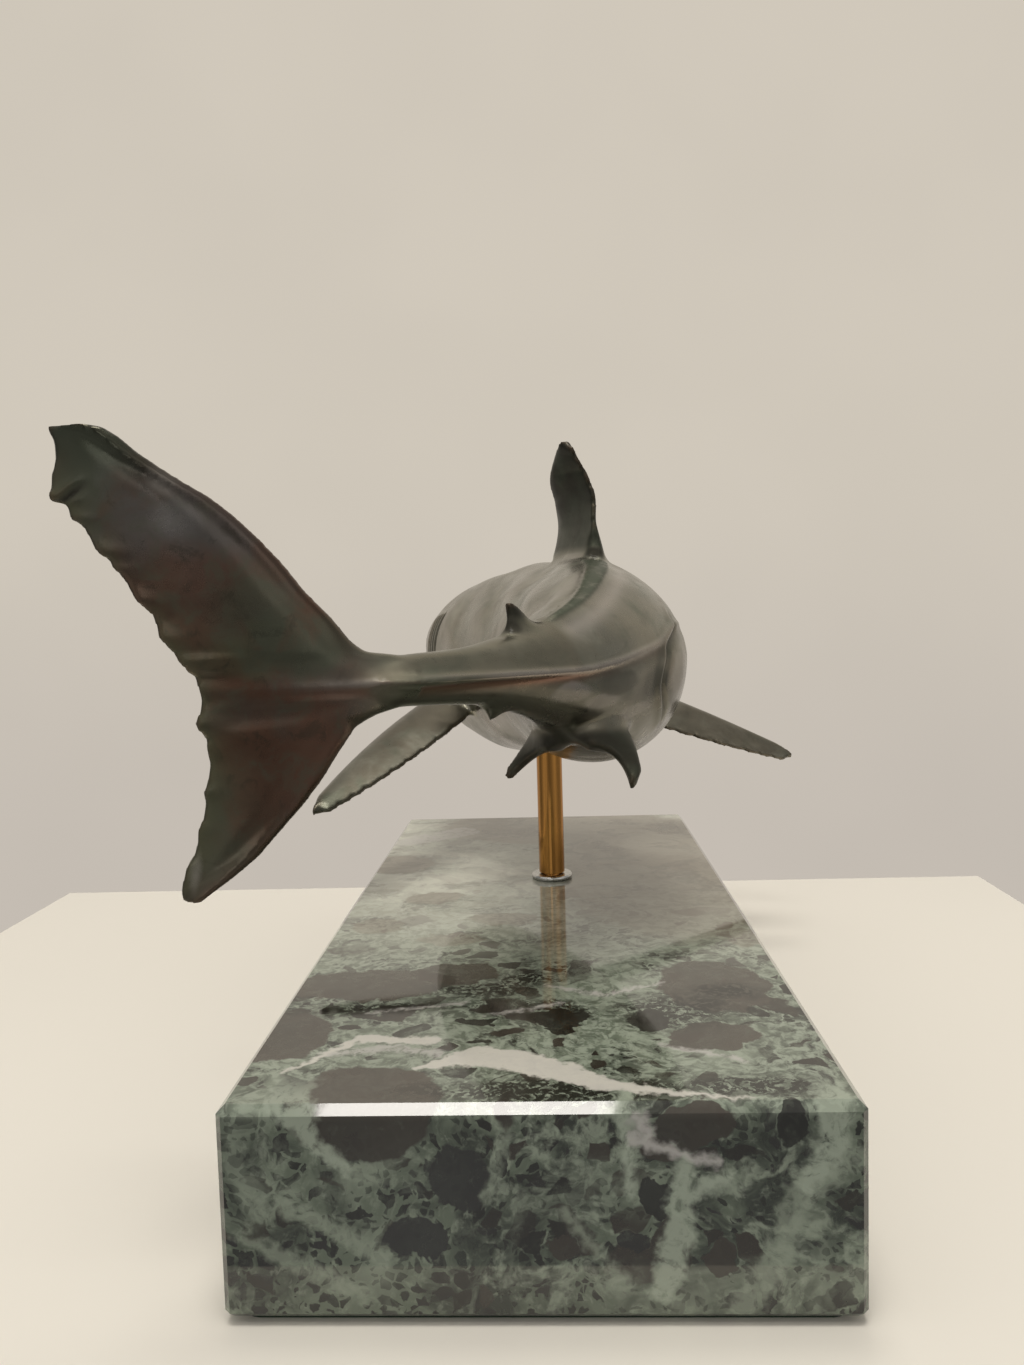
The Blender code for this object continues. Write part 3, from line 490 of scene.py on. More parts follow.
def tailRings():
    start = body["length"]
    heights = np.linspace(tail["lead"][0][1], tail["lead"][-1][1], tail["rows"]) / 1000
    heights = heights[2:-1]
    front = tailLead(heights)
    rear = tailTrail(heights)
    calm = np.minimum(evened(rear, tail["calmRows"]), rear + tail["calmReach"])
    ripple = rear - calm
    reach = np.where(heights > 0, heights / heights[-1], heights / heights[0])
    thick = tail["thickness"] + (tail["tipThickness"] - tail["thickness"]) * reach ** 0.7
    rings = []
    share = (1 - np.cos(np.linspace(0, np.pi, tail["columns"] + 1))) / 2
    power, fullness = tail["swell"]
    swell = bladeForm["fullness"] * share ** power * (1 - share) * fullness
    last = after(share, tail["scallopFrom"], 1 - tail["scallopFrom"])
    wide = after(share, tail["fluteFrom"], 1 - tail["fluteFrom"])
    for height, a, b, t, r, far in zip(heights, front, calm, thick, ripple, reach):
        chord = b - a
        depth = share * chord
        half = t / 2 * swell + bladeForm["edge"] / 2 * np.minimum(1, bladeForm["noseBlunt"] * share)
        rim = tail["rim"] * far ** 0.4
        half = half + rim * bump(depth, *tail["rimPlace"])
        half = half - rim * tail["rimHollow"] * bump(depth, *tail["hollowPlace"])
        half = half + tail["fluteSwell"] * r * wide
        half = np.maximum(half, tail["least"])
        half = np.minimum(half, chord * bladeForm["widest"] + bladeForm["least"])
        side = tail["flute"] * r * wide - tail["bow"] * far * (share - tail["bowCentre"]) * 2
        back = start + a + chord * share + r * last
        level = np.full(len(back) - 1, height)
        over = fromAxis(back[1:], side[1:] + half[1:], level)
        under = fromAxis(back[1:], side[1:] - half[1:], level)[::-1]
        nose = fromAxis(back[:1], side[:1], level[:1])
        rings.append(np.concatenate([nose, over, under]))
    return rings


def coreRings():
    angles = np.linspace(0, 2 * np.pi, body["sides"], endpoint=False)
    side, height = section(np.full(body["sides"], body["length"]), angles)
    thinSide, thinHeight = tail["coreThin"]
    rings = []
    for share in np.linspace(0, 1, tail["coreRings"]):
        fade = ease(share)
        station = np.full(body["sides"], body["length"] - tail["coreOverlap"] + tail["coreLength"] * share)
        rings.append(fromAxis(station, side * (1 - thinSide * fade),
                              height * (1 - thinHeight * fade) + tail["coreLift"] * fade))
    return rings


def bodyRings():
    angles = np.linspace(0, 2 * np.pi, body["sides"], endpoint=False)
    rings = [axisPoint(np.array([0.0]))]
    for station in np.linspace(0, 1, body["rings"] + 1)[1:] ** body["crowding"] * body["length"]:
        side, height = section(np.full(body["sides"], station), angles)
        rings.append(fromAxis(np.full(body["sides"], station), side, height))
    return rings


skinForm = {
    "voxel": 0.0008, "finPasses": 3, "bodyPasses": 10, "fairPasses": 4, "seamPasses": 40,
    # how far off the body's own surface a point is still smoothed as body, set exactly on it, or worked
    "bodyLevel": (0.0010, 0.0012), "exactLevel": (0.0004, 0.0006), "workLevel": (0.0012, 0.0014),
    "bodyEnd": (0.010, 0.02), "exactEnd": 0.004, "flankward": (0.55, 0.25),
    # a seam is a place this hollow and this near the body, or on the tail's core. It spreads, then softens.
    "seamHollow": 0.035, "seamLevel": 0.006, "coreSeam": (-0.006, 0.040), "coreReach": 0.016,
    "seamSpread": (8, 1.35), "seamSoft": 6,
}


def bronzeSkin():
    lofts = [bodyRings(), coreRings(), tailRings(), dorsalRings()]
    lofts += [smallFinRings(shape) for shape in smallFins.values()]
    for shape in (pectoral, pelvic):
        for flank, pose in shape["poses"].items():
            own = shape["own"][flank] if "own" in shape else {}
            lofts.append(pairedFinRings(dict(shape, **own), flank, pose))
    skin = joined("bronze_shark", lofts)
    step = skin.modifiers.new("oneSkin", "REMESH")
    step.mode = "VOXEL"
    step.voxel_size = skinForm["voxel"]
    step.adaptivity = 0
    return settled(skin)


skin = bronzeSkin()
print("bronze skin:", len(skin.data.vertices), "points")


# Working on the skin's points

def pointsOf(thing):
    co = np.empty(len(thing.data.vertices) * 3, np.float32)
    thing.data.vertices.foreach_get("co", co)
    return co.reshape(-1, 3).astype(float)


def normalsOf(thing):
    thing.data.update()
    flat = np.empty(len(thing.data.vertices) * 3, np.float32)
    thing.data.vertex_normals.foreach_get("vector", flat)
    return flat.reshape(-1, 3).astype(float)


def putPoints(thing, points):
    thing.data.vertices.foreach_set("co", points.astype(np.float32).ravel())
    thing.data.update()


def edgesOf(thing):
    pairs = np.empty(len(thing.data.edges) * 2, np.int32)
    thing.data.edges.foreach_get("vertices", pairs)
    return pairs.reshape(-1, 2)


def neighbourMean(values, pairs):
    count = len(values)
    a, b = pairs[:, 0], pairs[:, 1]
    degree = np.bincount(a, minlength=count) + np.bincount(b, minlength=count)
    columns = []
    for column in values.reshape(count, -1).T:
        total = np.bincount(a, column[b], count) + np.bincount(b, column[a], count)
        columns.append(total / np.maximum(degree, 1))
    return np.stack(columns, -1).reshape(values.shape)


def hollowness(points, pairs):
    # above 0 where the skin is hollow and below 0 where it is raised, in voxels
    return ((neighbourMean(points, pairs) - points) * normalsOf(skin)).sum(1) / skinForm["voxel"]


def smoothed(points, pairs, weight, passes, share=0.6):
    for _ in range(passes):
        points = points + (neighbourMean(points, pairs) - points) * share * weight[:, None]
    return points


def relaxed(points, pairs, weight, passes):
    # in and out again, so that roughness goes and the size stays
    for _ in range(passes):
        for share in (0.5, -0.5):
            points = smoothed(points, pairs, weight, 1, share)
    return points


def bodyPlaces(points):
    # station, side and height of each point along the bend
    stride, batch = 4, 20000
    station = np.empty(len(points))
    for first in range(0, len(points), batch):
        some = points[first:first + batch]
        away = (some[:, 0:1] - lineX[None, ::stride]) ** 2 + (some[:, 1:2] - lineY[None, ::stride]) ** 2
        station[first:first + batch] = lineStations[::stride][away.argmin(1)]
    for _ in range(3):
        forward = bodyFrame(station)[0]
        station = station - ((points - axisPoint(station)) * forward).sum(1)
        station = np.clip(station, 0, lineStations[-1])
    place = axisPoint(station)
    side = ((points - place) * bodyFrame(station)[1]).sum(1)
    return station, side, points[:, 2] - place[:, 2]


def overSurface(station, side, height):
    # how far a point stands off the body's own surface, its angle round the body in degrees, and its share
    # of the way from the axis to that surface
    least = 1e-5
    back, belly, flank = halfSizes(np.minimum(station, body["length"]))
    power = np.where(height > 0, backPower(np.minimum(station / body["length"], 1)), 2.0)
    flank = np.maximum(flank, least)
    tall = np.maximum(np.where(height > 0, back, belly), least)
    ring = (np.abs(side / flank) ** power + np.abs(height / tall) ** power) ** (1 / power)
    return (ring - 1) * np.minimum(tall, flank), np.degrees(np.arctan2(height / tall, side / flank)), ring


def fairSeams():
    points = pointsOf(skin)
    pairs = edgesOf(skin)
    length = body["length"]
    station, side, height = bodyPlaces(points)
    level = overSurface(station, side, height)[0]
    past, fade = skinForm["bodyEnd"]
    onBody = until(np.abs(level), *skinForm["bodyLevel"]) * until(station, length + past, fade)
    points = relaxed(points, pairs, np.ones(len(points)), skinForm["finPasses"])
    points = relaxed(points, pairs, onBody, skinForm["bodyPasses"])
    points = smoothed(points, pairs, onBody, skinForm["fairPasses"])
    # what is left of the body's own skin is set exactly on its sections
    station, side, height = bodyPlaces(points)
    level, _, ring = overSurface(station, side, height)
    short = skinForm["exactEnd"]
    exact = until(np.abs(level), *skinForm["exactLevel"])
    exact *= until(station, length - short, short) * after(station, short, short)
    ring = np.maximum(ring, 0.2)
    points = points + (fromAxis(station, side / ring, height / ring) - points) * exact[:, None]
    putPoints(skin, points)
    # the seams where fins meet the body are the hollow places near the body's surface
    first, last = skinForm["coreSeam"]
    near = (np.abs(level) < skinForm["seamLevel"]) & (station < length - short)
    near |= (station > length + first) & (station < length + last) & (np.abs(height) < skinForm["coreReach"])
    seam = ((hollowness(points, pairs) > skinForm["seamHollow"]) & near).astype(float)
    passes, gain = skinForm["seamSpread"]
    for _ in range(passes):
        seam = np.maximum(seam, neighbourMean(seam, pairs) * gain)
    seam = np.clip(seam, 0, 1)
    for _ in range(skinForm["seamSoft"]):
        seam = neighbourMean(seam, pairs)
    putPoints(skin, smoothed(points, pairs, seam, skinForm["seamPasses"]))


fairSeams()
print("fin roots faired")


# Modelling on the surface. Each piece of work gives how far it pushes the skin out along its normal, and
# leaves marks on the points for the finishes to read.

def skinPlaces():
    points = pointsOf(skin)
    normals = normalsOf(skin)
    station, side, height = bodyPlaces(points)
    level, angle, _ = overSurface(station, side, height)
    return SimpleNamespace(
        points=points, normals=normals, station=station, side=side, height=height, level=level, angle=angle,
        # the angle from the flank, the same on both sides
        upright=np.where(side > 0, angle, np.where(angle > 0, 180 - angle, -180 - angle)),
        # 1 on the body's own skin, and 1 where the skin faces sideways
        onSkin=until(np.abs(level), *skinForm["workLevel"]),
        flankward=before(np.abs(normals[:, 2]), *skinForm["flankward"]))


def alongPath(path, station, height):
    # signed distance from a line in (station, height or side), and how far along it the nearest point is
    best = np.full(len(station), 1e9)
    signed = np.zeros(len(station))
    share = np.zeros(len(station))
    knots = np.arange(len(path))
    fine = np.linspace(0, len(path) - 1, 8 * len(path))
    path = np.stack([smoothThrough(knots, values)(fine) for values in zip(*path)], -1)
    for k in range(len(path) - 1):
        a, step = path[k], path[k + 1] - path[k]
        t = np.clip(((station - a[0]) * step[0] + (height - a[1]) * step[1]) / (step @ step), 0, 1)
        dx, dy = station - a[0] - t * step[0], height - a[1] - t * step[1]
        away = np.hypot(dx, dy)
        nearer = away < best
        best = np.where(nearer, away, best)
        signed = np.where(nearer, np.sign(step[0] * dy - step[1] * dx) * away, signed)
        share = np.where(nearer, (k + t) / (len(path) - 1), share)
    return signed, share


def ends(share, soft):
    return ease(share / soft) * ease((1 - share) / soft)


keelLine = {
    # (station, height) from the flank to the tail fin
    "path": ((0.200, 0.0122), (0.2284, 0.0114), (0.2458, 0.0058), (0.2548, 0.0038), (0.2677, 0.0012),
             (0.2827, -0.0002), (0.303, -0.0001), (0.331, 0.0), (0.372, 0.0006)),
    "rise": 0.00080, "width": 0.0010, "fade": 0.16, "flankFrom": (0.45, 0.25), "tailReach": 0.008,
    # the ridge and the hollow on each side of it: share of the rise, then place and width in ridge widths
    "across": ((1.0, 0.0, 1.0), (-0.55, -2.4, 1.5), (-0.30, 2.6, 1.8)),
    # marks: place and width in ridge widths, then the station where each starts or ends, and its fade
    "below": (-1.7, 1.5), "belowFrom": (0.262, 0.03), "belowLeast": 0.25,
    "shade": (-3.0, 2.0), "shadeTo": (0.292, 0.03), "crest": (0.2, 0.9), "crestFrom": (0.225, 0.03),
}


def workKeel(at, marks):
    away, share = alongPath(keelLine["path"], at.station, at.height)
    away = away / keelLine["width"]
    onBody = at.station < body["length"]
    flank = np.maximum(halfSizes(np.minimum(at.station, body["length"]))[2], 1e-5)
    outer = np.where(onBody, after(np.abs(at.side) / flank, *keelLine["flankFrom"]), at.flankward)
    near = np.where(onBody, at.onSkin, np.abs(at.side) < keelLine["tailReach"])
    hold = outer * ends(share, keelLine["fade"]) * near
    least = keelLine["belowLeast"]
    below = least + (1 - least) * after(at.station, *keelLine["belowFrom"])
    marks["keelBelow"] = hold * bump(away, *keelLine["below"]) * below
    # painted shade below the keel and a painted highlight along its crest
    marks["keelShade"] = hold * bump(away, *keelLine["shade"]) * before(at.station, *keelLine["shadeTo"])
    marks["keelCrest"] = hold * bump(away, *keelLine["crest"]) * after(at.station, *keelLine["crestFrom"])
    return keelLine["rise"] * hold * waves(away, keelLine["across"])


rootRidge = {"height": -0.0031, "width": 0.0008, "rise": 0.0003, "from": (0.343, 0.005), "to": (0.366, 0.006)}


def workRootRidge(at, marks):
    # a second, fainter ridge at the tail's root
    ridge = bump(at.height, rootRidge["height"], rootRidge["width"])
    ridge *= after(at.station, *rootRidge["from"]) * before(at.station, *rootRidge["to"])
    return rootRidge["rise"] * ridge * at.flankward


flankFold = {
    "path": ((0.2225, 0.0165), (0.2284, 0.0114), (0.2409, 0.0037), (0.2440, -0.0056), (0.2348, -0.0177),
             (0.2260, -0.0245)),
    "depth": 0.00110, "fade": 0.22, "markWidth": 0.0009,
    # share of the depth, place and width of the ridges and the hollow across it
    "across": ((0.8, 0.0016, 0.0016), (-1.0, 0.0, 0.0010), (0.3, -0.0034, 0.0030)),
}


def workFold(at, marks):
    # the fold in the right flank
    away, share = alongPath(flankFold["path"], at.station, at.height)
    hold = (at.side > 0) * at.onSkin * ends(share, flankFold["fade"])
    # the fold's mark carries painted shade in the crease
    marks["fold"] = hold * bump(away, 0, flankFold["markWidth"])
    return flankFold["depth"] * hold * waves(away, flankFold["across"])


backStrip = {
    # (station, side) behind the dorsal fin
    "path": ((0.203, 0.0016), (0.2247, 0.0024), (0.246, 0.0029), (0.2643, 0.0038), (0.282, 0.0030)),
    "rise": 0.0006, "fade": 0.10, "half": 0.0047, "narrowing": 0.0036, "edge": (0.0007, 0.0011),
    # the valley on each side: share of the rise, side, distance from the strip's edge, width
    "valleys": ((0.9, 1, 0.0036, 0.0028), (0.4, -1, 0.0040, 0.0030)), "valleyMark": (0.0042, 0.0026),
}


def workStrip(at, marks):
    away, share = alongPath(backStrip["path"], at.station, at.side)
    half = backStrip["half"] - backStrip["narrowing"] * share
    hold = (at.height > 0) * at.onSkin * ends(share, backStrip["fade"])
    inset, soft = backStrip["edge"]
    flat = until(np.abs(away), half - inset, soft)
    beyond, width = backStrip["valleyMark"]
    marks["strip"] = hold * flat
    # the valley's mark carries a painted sheen
    marks["valley"] = hold * bump(away, half + beyond, width)
    for depth, flank, beyond, width in backStrip["valleys"]:
        flat = flat - depth * bump(away, flank * (half + beyond), width)
    return backStrip["rise"] * hold * flat


backForm = {
    # rise, angle and width of each soft plane on the left of the back
    "planes": ((-0.0007, 116, 9), (0.0004, 136, 8)), "planeSpan": (0.150, 0.300), "fade": 0.03,
    # faint arcs over it, which lean back as they come down
    "arcRise": 0.00035, "arcPitch": 0.050, "arcPhase": 1.9, "arcLean": 0.0008, "arcUpright": 100,
    "arcAbove": (60, 30), "arcSpan": (0.090, 0.300),
}


def workBack(at, marks):
    left = at.onSkin * (at.side < 0)
    fade = backForm["fade"]
    first, last = backForm["planeSpan"]
    back = left * after(at.station, first, fade) * before(at.station, last, fade)
    lowest, soft = backForm["arcAbove"]
    swung = at.station - backForm["arcLean"] * (np.clip(at.angle, lowest, 180) - backForm["arcUpright"])
    first, last = backForm["arcSpan"]
    arcs = np.sin(swung * 2 * np.pi / backForm["arcPitch"] + backForm["arcPhase"]) * left
    arcs *= after(at.station, first, fade) * before(at.station, last, fade) * after(at.angle, lowest, soft)
    # the arcs' mark carries a painted sheen
    marks["arcs"] = np.clip(arcs, 0, 1)
    return back * waves(at.angle, backForm["planes"]) + backForm["arcRise"] * arcs


dorsalRear = {
    # a pit behind the dorsal fin: (station, half length) and (side, half width)
    "pit": ((0.2085, 0.0022), (0.0022, 0.0017)), "pitDepth": 0.0015, "pitAbove": 0.025,
    # (station, lowest and highest point, side, half width) of the groove up the rear of each dorsal fin
    "grooves": ((0.2060, 0.0365, 0.0570, 0.0016, 0.0021), (0.2965, 0.0120, 0.0190, 0.0, 0.0015)),
    "grooveDepth": 0.0006, "grooveLean": 0.35, "grooveTop": 0.5, "grooveFoot": 0.15,
}


def workDorsalRear(at, marks):
    along, across = dorsalRear["pit"]
    pit = bump(at.station, *along) * bump(at.side, *across) * (at.height > dorsalRear["pitAbove"])
    groove = np.zeros(len(pit))
    foot = dorsalRear["grooveFoot"]
    for station, low, high, middle, half in dorsalRear["grooves"]:
        rise = (at.height - low) / (high - low)
        line = station + dorsalRear["grooveLean"] * (at.height - low)
        cut = bump(at.station, line, half) * bump(at.side, middle, half)
        cut *= before(rise, 1, dorsalRear["grooveTop"]) * after(rise, -foot, foot)
        groove = np.maximum(groove, cut)
    # the pit and groove marks carry painted shade
    marks["pit"] = pit
    marks["rear"] = groove
    return -dorsalRear["pitDepth"] * pit - dorsalRear["grooveDepth"] * groove


tipOverlap = {
    # (distance behind the body's end, height) of the line where the trailing edge folds over itself
    "path": ((0.0790, 0.0426), (0.0765, 0.0434), (0.0752, 0.0443), (0.0734, 0.0457), (0.0700, 0.0474)),
    "across": ((0.00050, -0.0016, 0.0012), (-0.0008, 0.0002, 0.0007)), "mark": (0.0001, 0.0006),
    "from": 0.05, "facing": -0.2, "fade": 0.35,
}


def workTip(at, marks):
    behind = at.station - body["length"]
    away, share = alongPath(tipOverlap["path"], behind, at.height)
    hold = (behind > tipOverlap["from"]) * (at.normals[:, 1] < tipOverlap["facing"])
    hold = hold * before(share, 1, tipOverlap["fade"])
    # the overlap mark carries painted shade where the edge folds over
    marks["overlap"] = hold * bump(away, *tipOverlap["mark"])
    return hold * waves(away, tipOverlap["across"])


def arcShare(upright, angles):
    # -1 to 1 from one angle to another
    low, high = angles
    return (upright - (low + high) / 2) / ((high - low) / 2)


gills = {
    "station": 0.068, "spacing": 0.0050, "count": 5, "bow": 0.0025, "angles": (-34, 36), "ends": (0.86, 0.14),
    "depth": 0.0011, "width": 0.0008, "lip": (0.0004, -0.0018, 0.0014),
}


def workGills(at, marks):
    # the skin ahead of each slit stands up and drops into it
    across = arcShare(at.upright, gills["angles"])
    hold = at.onSkin * until(np.abs(across), *gills["ends"])
    push = np.zeros(len(hold))
    for index in range(gills["count"]):
        place = gills["station"] + index * gills["spacing"] + gills["bow"] * across ** 2
        away = at.station - place
        slit = hold * bump(away, 0, gills["width"])
        push += hold * waves(away, (gills["lip"],)) - gills["depth"] * slit
        marks["slits"] = np.maximum(marks["slits"], slit)
    return push


mouth = {
    "front": 0.0232, "corner": 0.0500, "angle": 70, "bow": 1.7, "ends": (0.90, 0.12), "depth": 0.0016,
    "width": 0.0010, "widening": 0.35, "lips": ((0.0007, -0.0026, 0.0018), (0.0005, 0.0030, 0.0020)),
}


def workMouth(at, marks):
    # the mouth runs under the head from corner to corner
    around = np.where(at.angle < 0, np.abs(at.angle + 90), 180) / mouth["angle"]
    line = mouth["front"] + (mouth["corner"] - mouth["front"]) * around ** mouth["bow"]
    hold = at.onSkin * until(around, *mouth["ends"]) * (at.angle < 0)
    away = (at.station - line) * (1 - mouth["widening"] * np.clip(around, 0, 1))
    groove = hold * bump(away, 0, mouth["width"])
    marks["slits"] = np.maximum(marks["slits"], groove)
    return hold * waves(away, mouth["lips"]) - mouth["depth"] * groove


nostrils = {"station": 0.0126, "width": 0.0011, "angles": (-42, -24), "ends": (0.7, 0.5), "depth": 0.0010}


def workNostrils(at, marks):
    across = arcShare(at.upright, nostrils["angles"])
    nostril = at.onSkin * bump(at.station, nostrils["station"], nostrils["width"])
    nostril *= until(np.abs(across), *nostrils["ends"])
    marks["slits"] = np.maximum(marks["slits"], nostril)
    return -nostrils["depth"] * nostril


eye = {
    "station": 0.026, "angle": 14, "radius": 0.0029, "proud": 0.0012, "sides": 40,
    # the drilled pupil's outline as (radius, height), and the rings of the dome: first, step, count
    "pupil": ((0, 0.00252), (0.00055, 0.00254), (0.00072, 0.00270)), "domeTurns": (75, -13.5, 12),
    # eyelid and crease: rise, distance from the eyeball, width
    "lids": ((0.00045, 0.0011, 0.0008), (-0.0004, 0.0001, 0.0005)),
}


def eyeCentres():
    centres = []
    for flank in (1, -1):
        across, rise = section(np.array([eye["station"]]), np.array([math.radians(eye["angle"])]))
        surfacePoint = np.array([flank * across[0], rise[0]])
        inward = surfacePoint / np.linalg.norm(surfacePoint) * (eye["proud"] - eye["radius"])
        spot = surfacePoint + inward
        centres.append(fromAxis(np.array([eye["station"]]), spot[:1], spot[1:])[0])
    return centres


def workEyelids(at, marks):
    reaches = [np.linalg.norm(at.points - centre, axis=1) - eye["radius"] for centre in eyeCentres()]
    return sum(waves(reach, eye["lids"]) for reach in reaches)


handWork = {
    # direction and pitch of four waves, whose products are the soft unevenness left by hand
    "waves": (((0.80, 0.35, 0.48), 0.046), ((-0.55, 0.50, 0.67), 0.038),
              ((0.30, -0.62, 0.72), 0.061), ((0.66, 0.58, -0.48), 0.043)),
    "phase": 1.7, "rise": 0.00022,
}


def workByHand(at, marks):
    a, b, c, d = [np.sin(at.points @ np.array(way) * 2 * np.pi / pitch + handWork["phase"] * index)
                  for index, (way, pitch) in enumerate(handWork["waves"])]
    return handWork["rise"] * (a * b + c * d) * at.onSkin


def workSurface():
    at = skinPlaces()
    # the slits mark carries painted shade in the gill slits, the mouth and the nostrils
    marks = {"slits": np.zeros(len(at.points))}
    push = sum(work(at, marks) for work in (
        workKeel, workRootRidge, workFold, workStrip, workBack, workDorsalRear, workTip, workGills,
        workMouth, workNostrils, workEyelids, workByHand))
    putPoints(skin, at.points + at.normals * push[:, None])
    return at, marks


wearAndShade = {
    # the curve that counts as full, and the share of it that is let pass: painted shade in the hollows, worn
    # rims on the crests
    "hollow": (0.22, 0.1), "crest": (0.17, 0.40), "curvePasses": 2,
    # the rest are places with the length over which each mark comes in or dies away
    "tailFrom": (0.004, 0.016), "trailReach": 0.0040, "leadReach": 0.0030, "leadOff": 0.008,
    "finLevel": (0.0010, 0.004), "finLeast": 0.50, "rearFrom": (0.200, 0.05),
    "dorsalFrom": (0.150, 0.01), "dorsalAbove": 0.02,
    "underFacing": (0.02, 0.45), "underBelow": (0.001, 0.004), "highFrom": (0.040, 0.020),
    "stockFrom": (0.255, 0.05),
}


def markSkin():
    at, marks = workSurface()
    pairs = edgesOf(skin)
    facing = normalsOf(skin)
    curve = hollowness(pointsOf(skin), pairs)
    for _ in range(wearAndShade["curvePasses"]):
        curve = (curve + neighbourMean(curve, pairs)) / 2
    for name, bend in (("hollow", curve), ("crest", -curve)):
        full, passed = wearAndShade[name]
        marks[name] = np.clip(bend / full - passed, 0, 1)
    behind = at.station - body["length"]
    onTail = after(behind, *wearAndShade["tailFrom"])
    fromTrail = np.maximum(tailTrail(at.height) - behind, 0)
    fromLead = np.maximum(behind - tailLead(at.height), 0)
    lobe = onTail * (behind > 0)
    marks["tail"] = onTail
    marks["trail"] = lobe * np.exp(-fromTrail / wearAndShade["trailReach"])
    marks["lead"] = lobe * np.exp(-fromLead / wearAndShade["leadReach"]) * (np.abs(at.height) > wearAndShade["leadOff"])
    rearPart = after(at.station, *wearAndShade["rearFrom"])
    onDorsal = after(at.station, *wearAndShade["dorsalFrom"]) * (at.height > wearAndShade["dorsalAbove"])
    least = wearAndShade["finLeast"]
    stands = after(at.level, *wearAndShade["finLevel"]) * (1 - onTail)
    marks["fin"] = stands * np.maximum(least + (1 - least) * rearPart, onDorsal)
    # painted shade: the skin that faces down under the body
    marks["under"] = after(-facing[:, 2], *wearAndShade["underFacing"]) * after(-at.height, *wearAndShade["underBelow"])
    marks["under"] *= rearPart * (1 - onTail)
    marks["high"] = after(at.height, *wearAndShade["highFrom"])
    marks["stock"] = after(at.station, *wearAndShade["stockFrom"]) * (1 - onTail)
    for name, values in marks.items():
        layer = skin.data.attributes.new(name, "FLOAT", "POINT")
        layer.data.foreach_set("value", np.asarray(values, np.float32))


markSkin()
skin.data.shade_smooth()
print("surface worked: gills, mouth, keel, folds")


# Finishes

def newMaterial(name):
    made = bpy.data.materials.new(name)
    made.use_nodes = True
    tree = made.node_tree
    tree.nodes.clear()
    out = tree.nodes.new("ShaderNodeOutputMaterial")
    shader = tree.nodes.new("ShaderNodeBsdfPrincipled")
    tree.links.new(shader.outputs[0], out.inputs["Surface"])
    return made, tree, shader


def add(tree, kind, settings=None, wires=None):
    node = tree.nodes.new("ShaderNode" + kind)
    for name, value in (settings or {}).items():
        setattr(node, name, value)
    for name, value in (wires or {}).items():
        if isinstance(value, bpy.types.NodeSocket):
            tree.links.new(value, node.inputs[name])
        else:
            node.inputs[name].default_value = value
    return node


def wire(tree, value, socket):
    if isinstance(value, bpy.types.NodeSocket):
        tree.links.new(value, socket)
    else:
        socket.default_value = value


def calc(tree, operation, a, b=0.0, clamp=False):
    node = tree.nodes.new("ShaderNodeMath")
    node.operation = operation
    node.use_clamp = clamp
    wire(tree, a, node.inputs[0])
    wire(tree, b, node.inputs[1])
    return node.outputs[0]


def noiseOf(tree, coords, scale, detail=4.0, roughness=0.5, distortion=0.0):
    node = add(tree, "TexNoise", None, {"Vector": coords, "Scale": scale, "Detail": detail,
                                        "Roughness": roughness, "Distortion": distortion})
    return node.outputs["Fac"]


def times(tree, a, b):
    return calc(tree, "MULTIPLY", a, b)


def plus(tree, a, b, clamp=False):
    return calc(tree, "ADD", a, b, clamp)


def less(tree, a, b):
    return calc(tree, "SUBTRACT", a, b)


def most(tree, values):
    # the largest of several values, made and compared one by one, as the renderer holds few values at a time
    largest = None
    for value in values:
        largest = value if largest is None else calc(tree, "MAXIMUM", largest, value)
    return largest


def vectors(tree, operation, *parts, out=0):
    return add(tree, "VectorMath", {"operation": operation}, dict(enumerate(parts))).outputs[out]


def span(tree, value, low, high, toLow=0.0, toHigh=1.0, smooth=True):
    node = tree.nodes.new("ShaderNodeMapRange")
    node.interpolation_type = "SMOOTHSTEP" if smooth else "LINEAR"
    for socket, number in zip(node.inputs[:5], (value, low, high, toLow, toHigh)):
        wire(tree, number, socket)
    return node.outputs[0]


def blendOf(tree, factor, a, b):
    node = tree.nodes.new("ShaderNodeMix")
    node.data_type = "RGBA"
    wire(tree, factor, node.inputs[0])
    for value, socket in ((a, node.inputs[6]), (b, node.inputs[7])):
        if isinstance(value, tuple) and len(value) == 3:
            value = (*value, 1.0)
        wire(tree, value, socket)
    return node.outputs[2]


def bumpOf(tree, height, strength, distance, normal=None):
    wires = {"Height": height, "Strength": strength, "Distance": distance}
    if normal is not None:
        wires["Normal"] = normal
    return add(tree, "Bump", None, wires).outputs[0]


def objectCoords(tree):
    return tree.nodes.new("ShaderNodeTexCoord").outputs["Object"]


def mapped(tree, coords, name, value):
    return add(tree, "Mapping", None, {"Vector": coords, name: value}).outputs[0]


def colourNoise(tree, coords, scale, detail):
    return add(tree, "TexNoise", None, {"Vector": coords, "Scale": scale, "Detail": detail}).outputs["Color"]


def wandering(tree, coords, *moves, centred=True):
    # coordinates moved about by noises, each by its share, so that what is drawn on them has uneven edges
    if centred:
        coords = vectors(tree, "ADD", coords, (-sum(share for _, share in moves) / 2,) * 3)
    for noise, share in moves:
        coords = vectors(tree, "MULTIPLY_ADD", noise, (share,) * 3, coords)
    return coords


def mark(tree, name):
    return add(tree, "Attribute", {"attribute_name": name}).outputs["Fac"]


def metres(values):
    return tuple(value / 1000 for value in values)


def reachFrom(tree, coords, centre, size):
    # 0 at the centre of a rounded place and 1 at its edge, from its centre and half sizes in millimetres
    offset = vectors(tree, "SUBTRACT", coords, metres(centre))
    return vectors(tree, "LENGTH", vectors(tree, "DIVIDE", offset, metres(size)), out=1)


def nearPlace(tree, coords, centre, size, soft):
    # 1 inside a soft-edged place and 0 outside it
    return span(tree, reachFrom(tree, coords, centre, size), 1 - soft, 1 + soft, 1.0, 0.0)


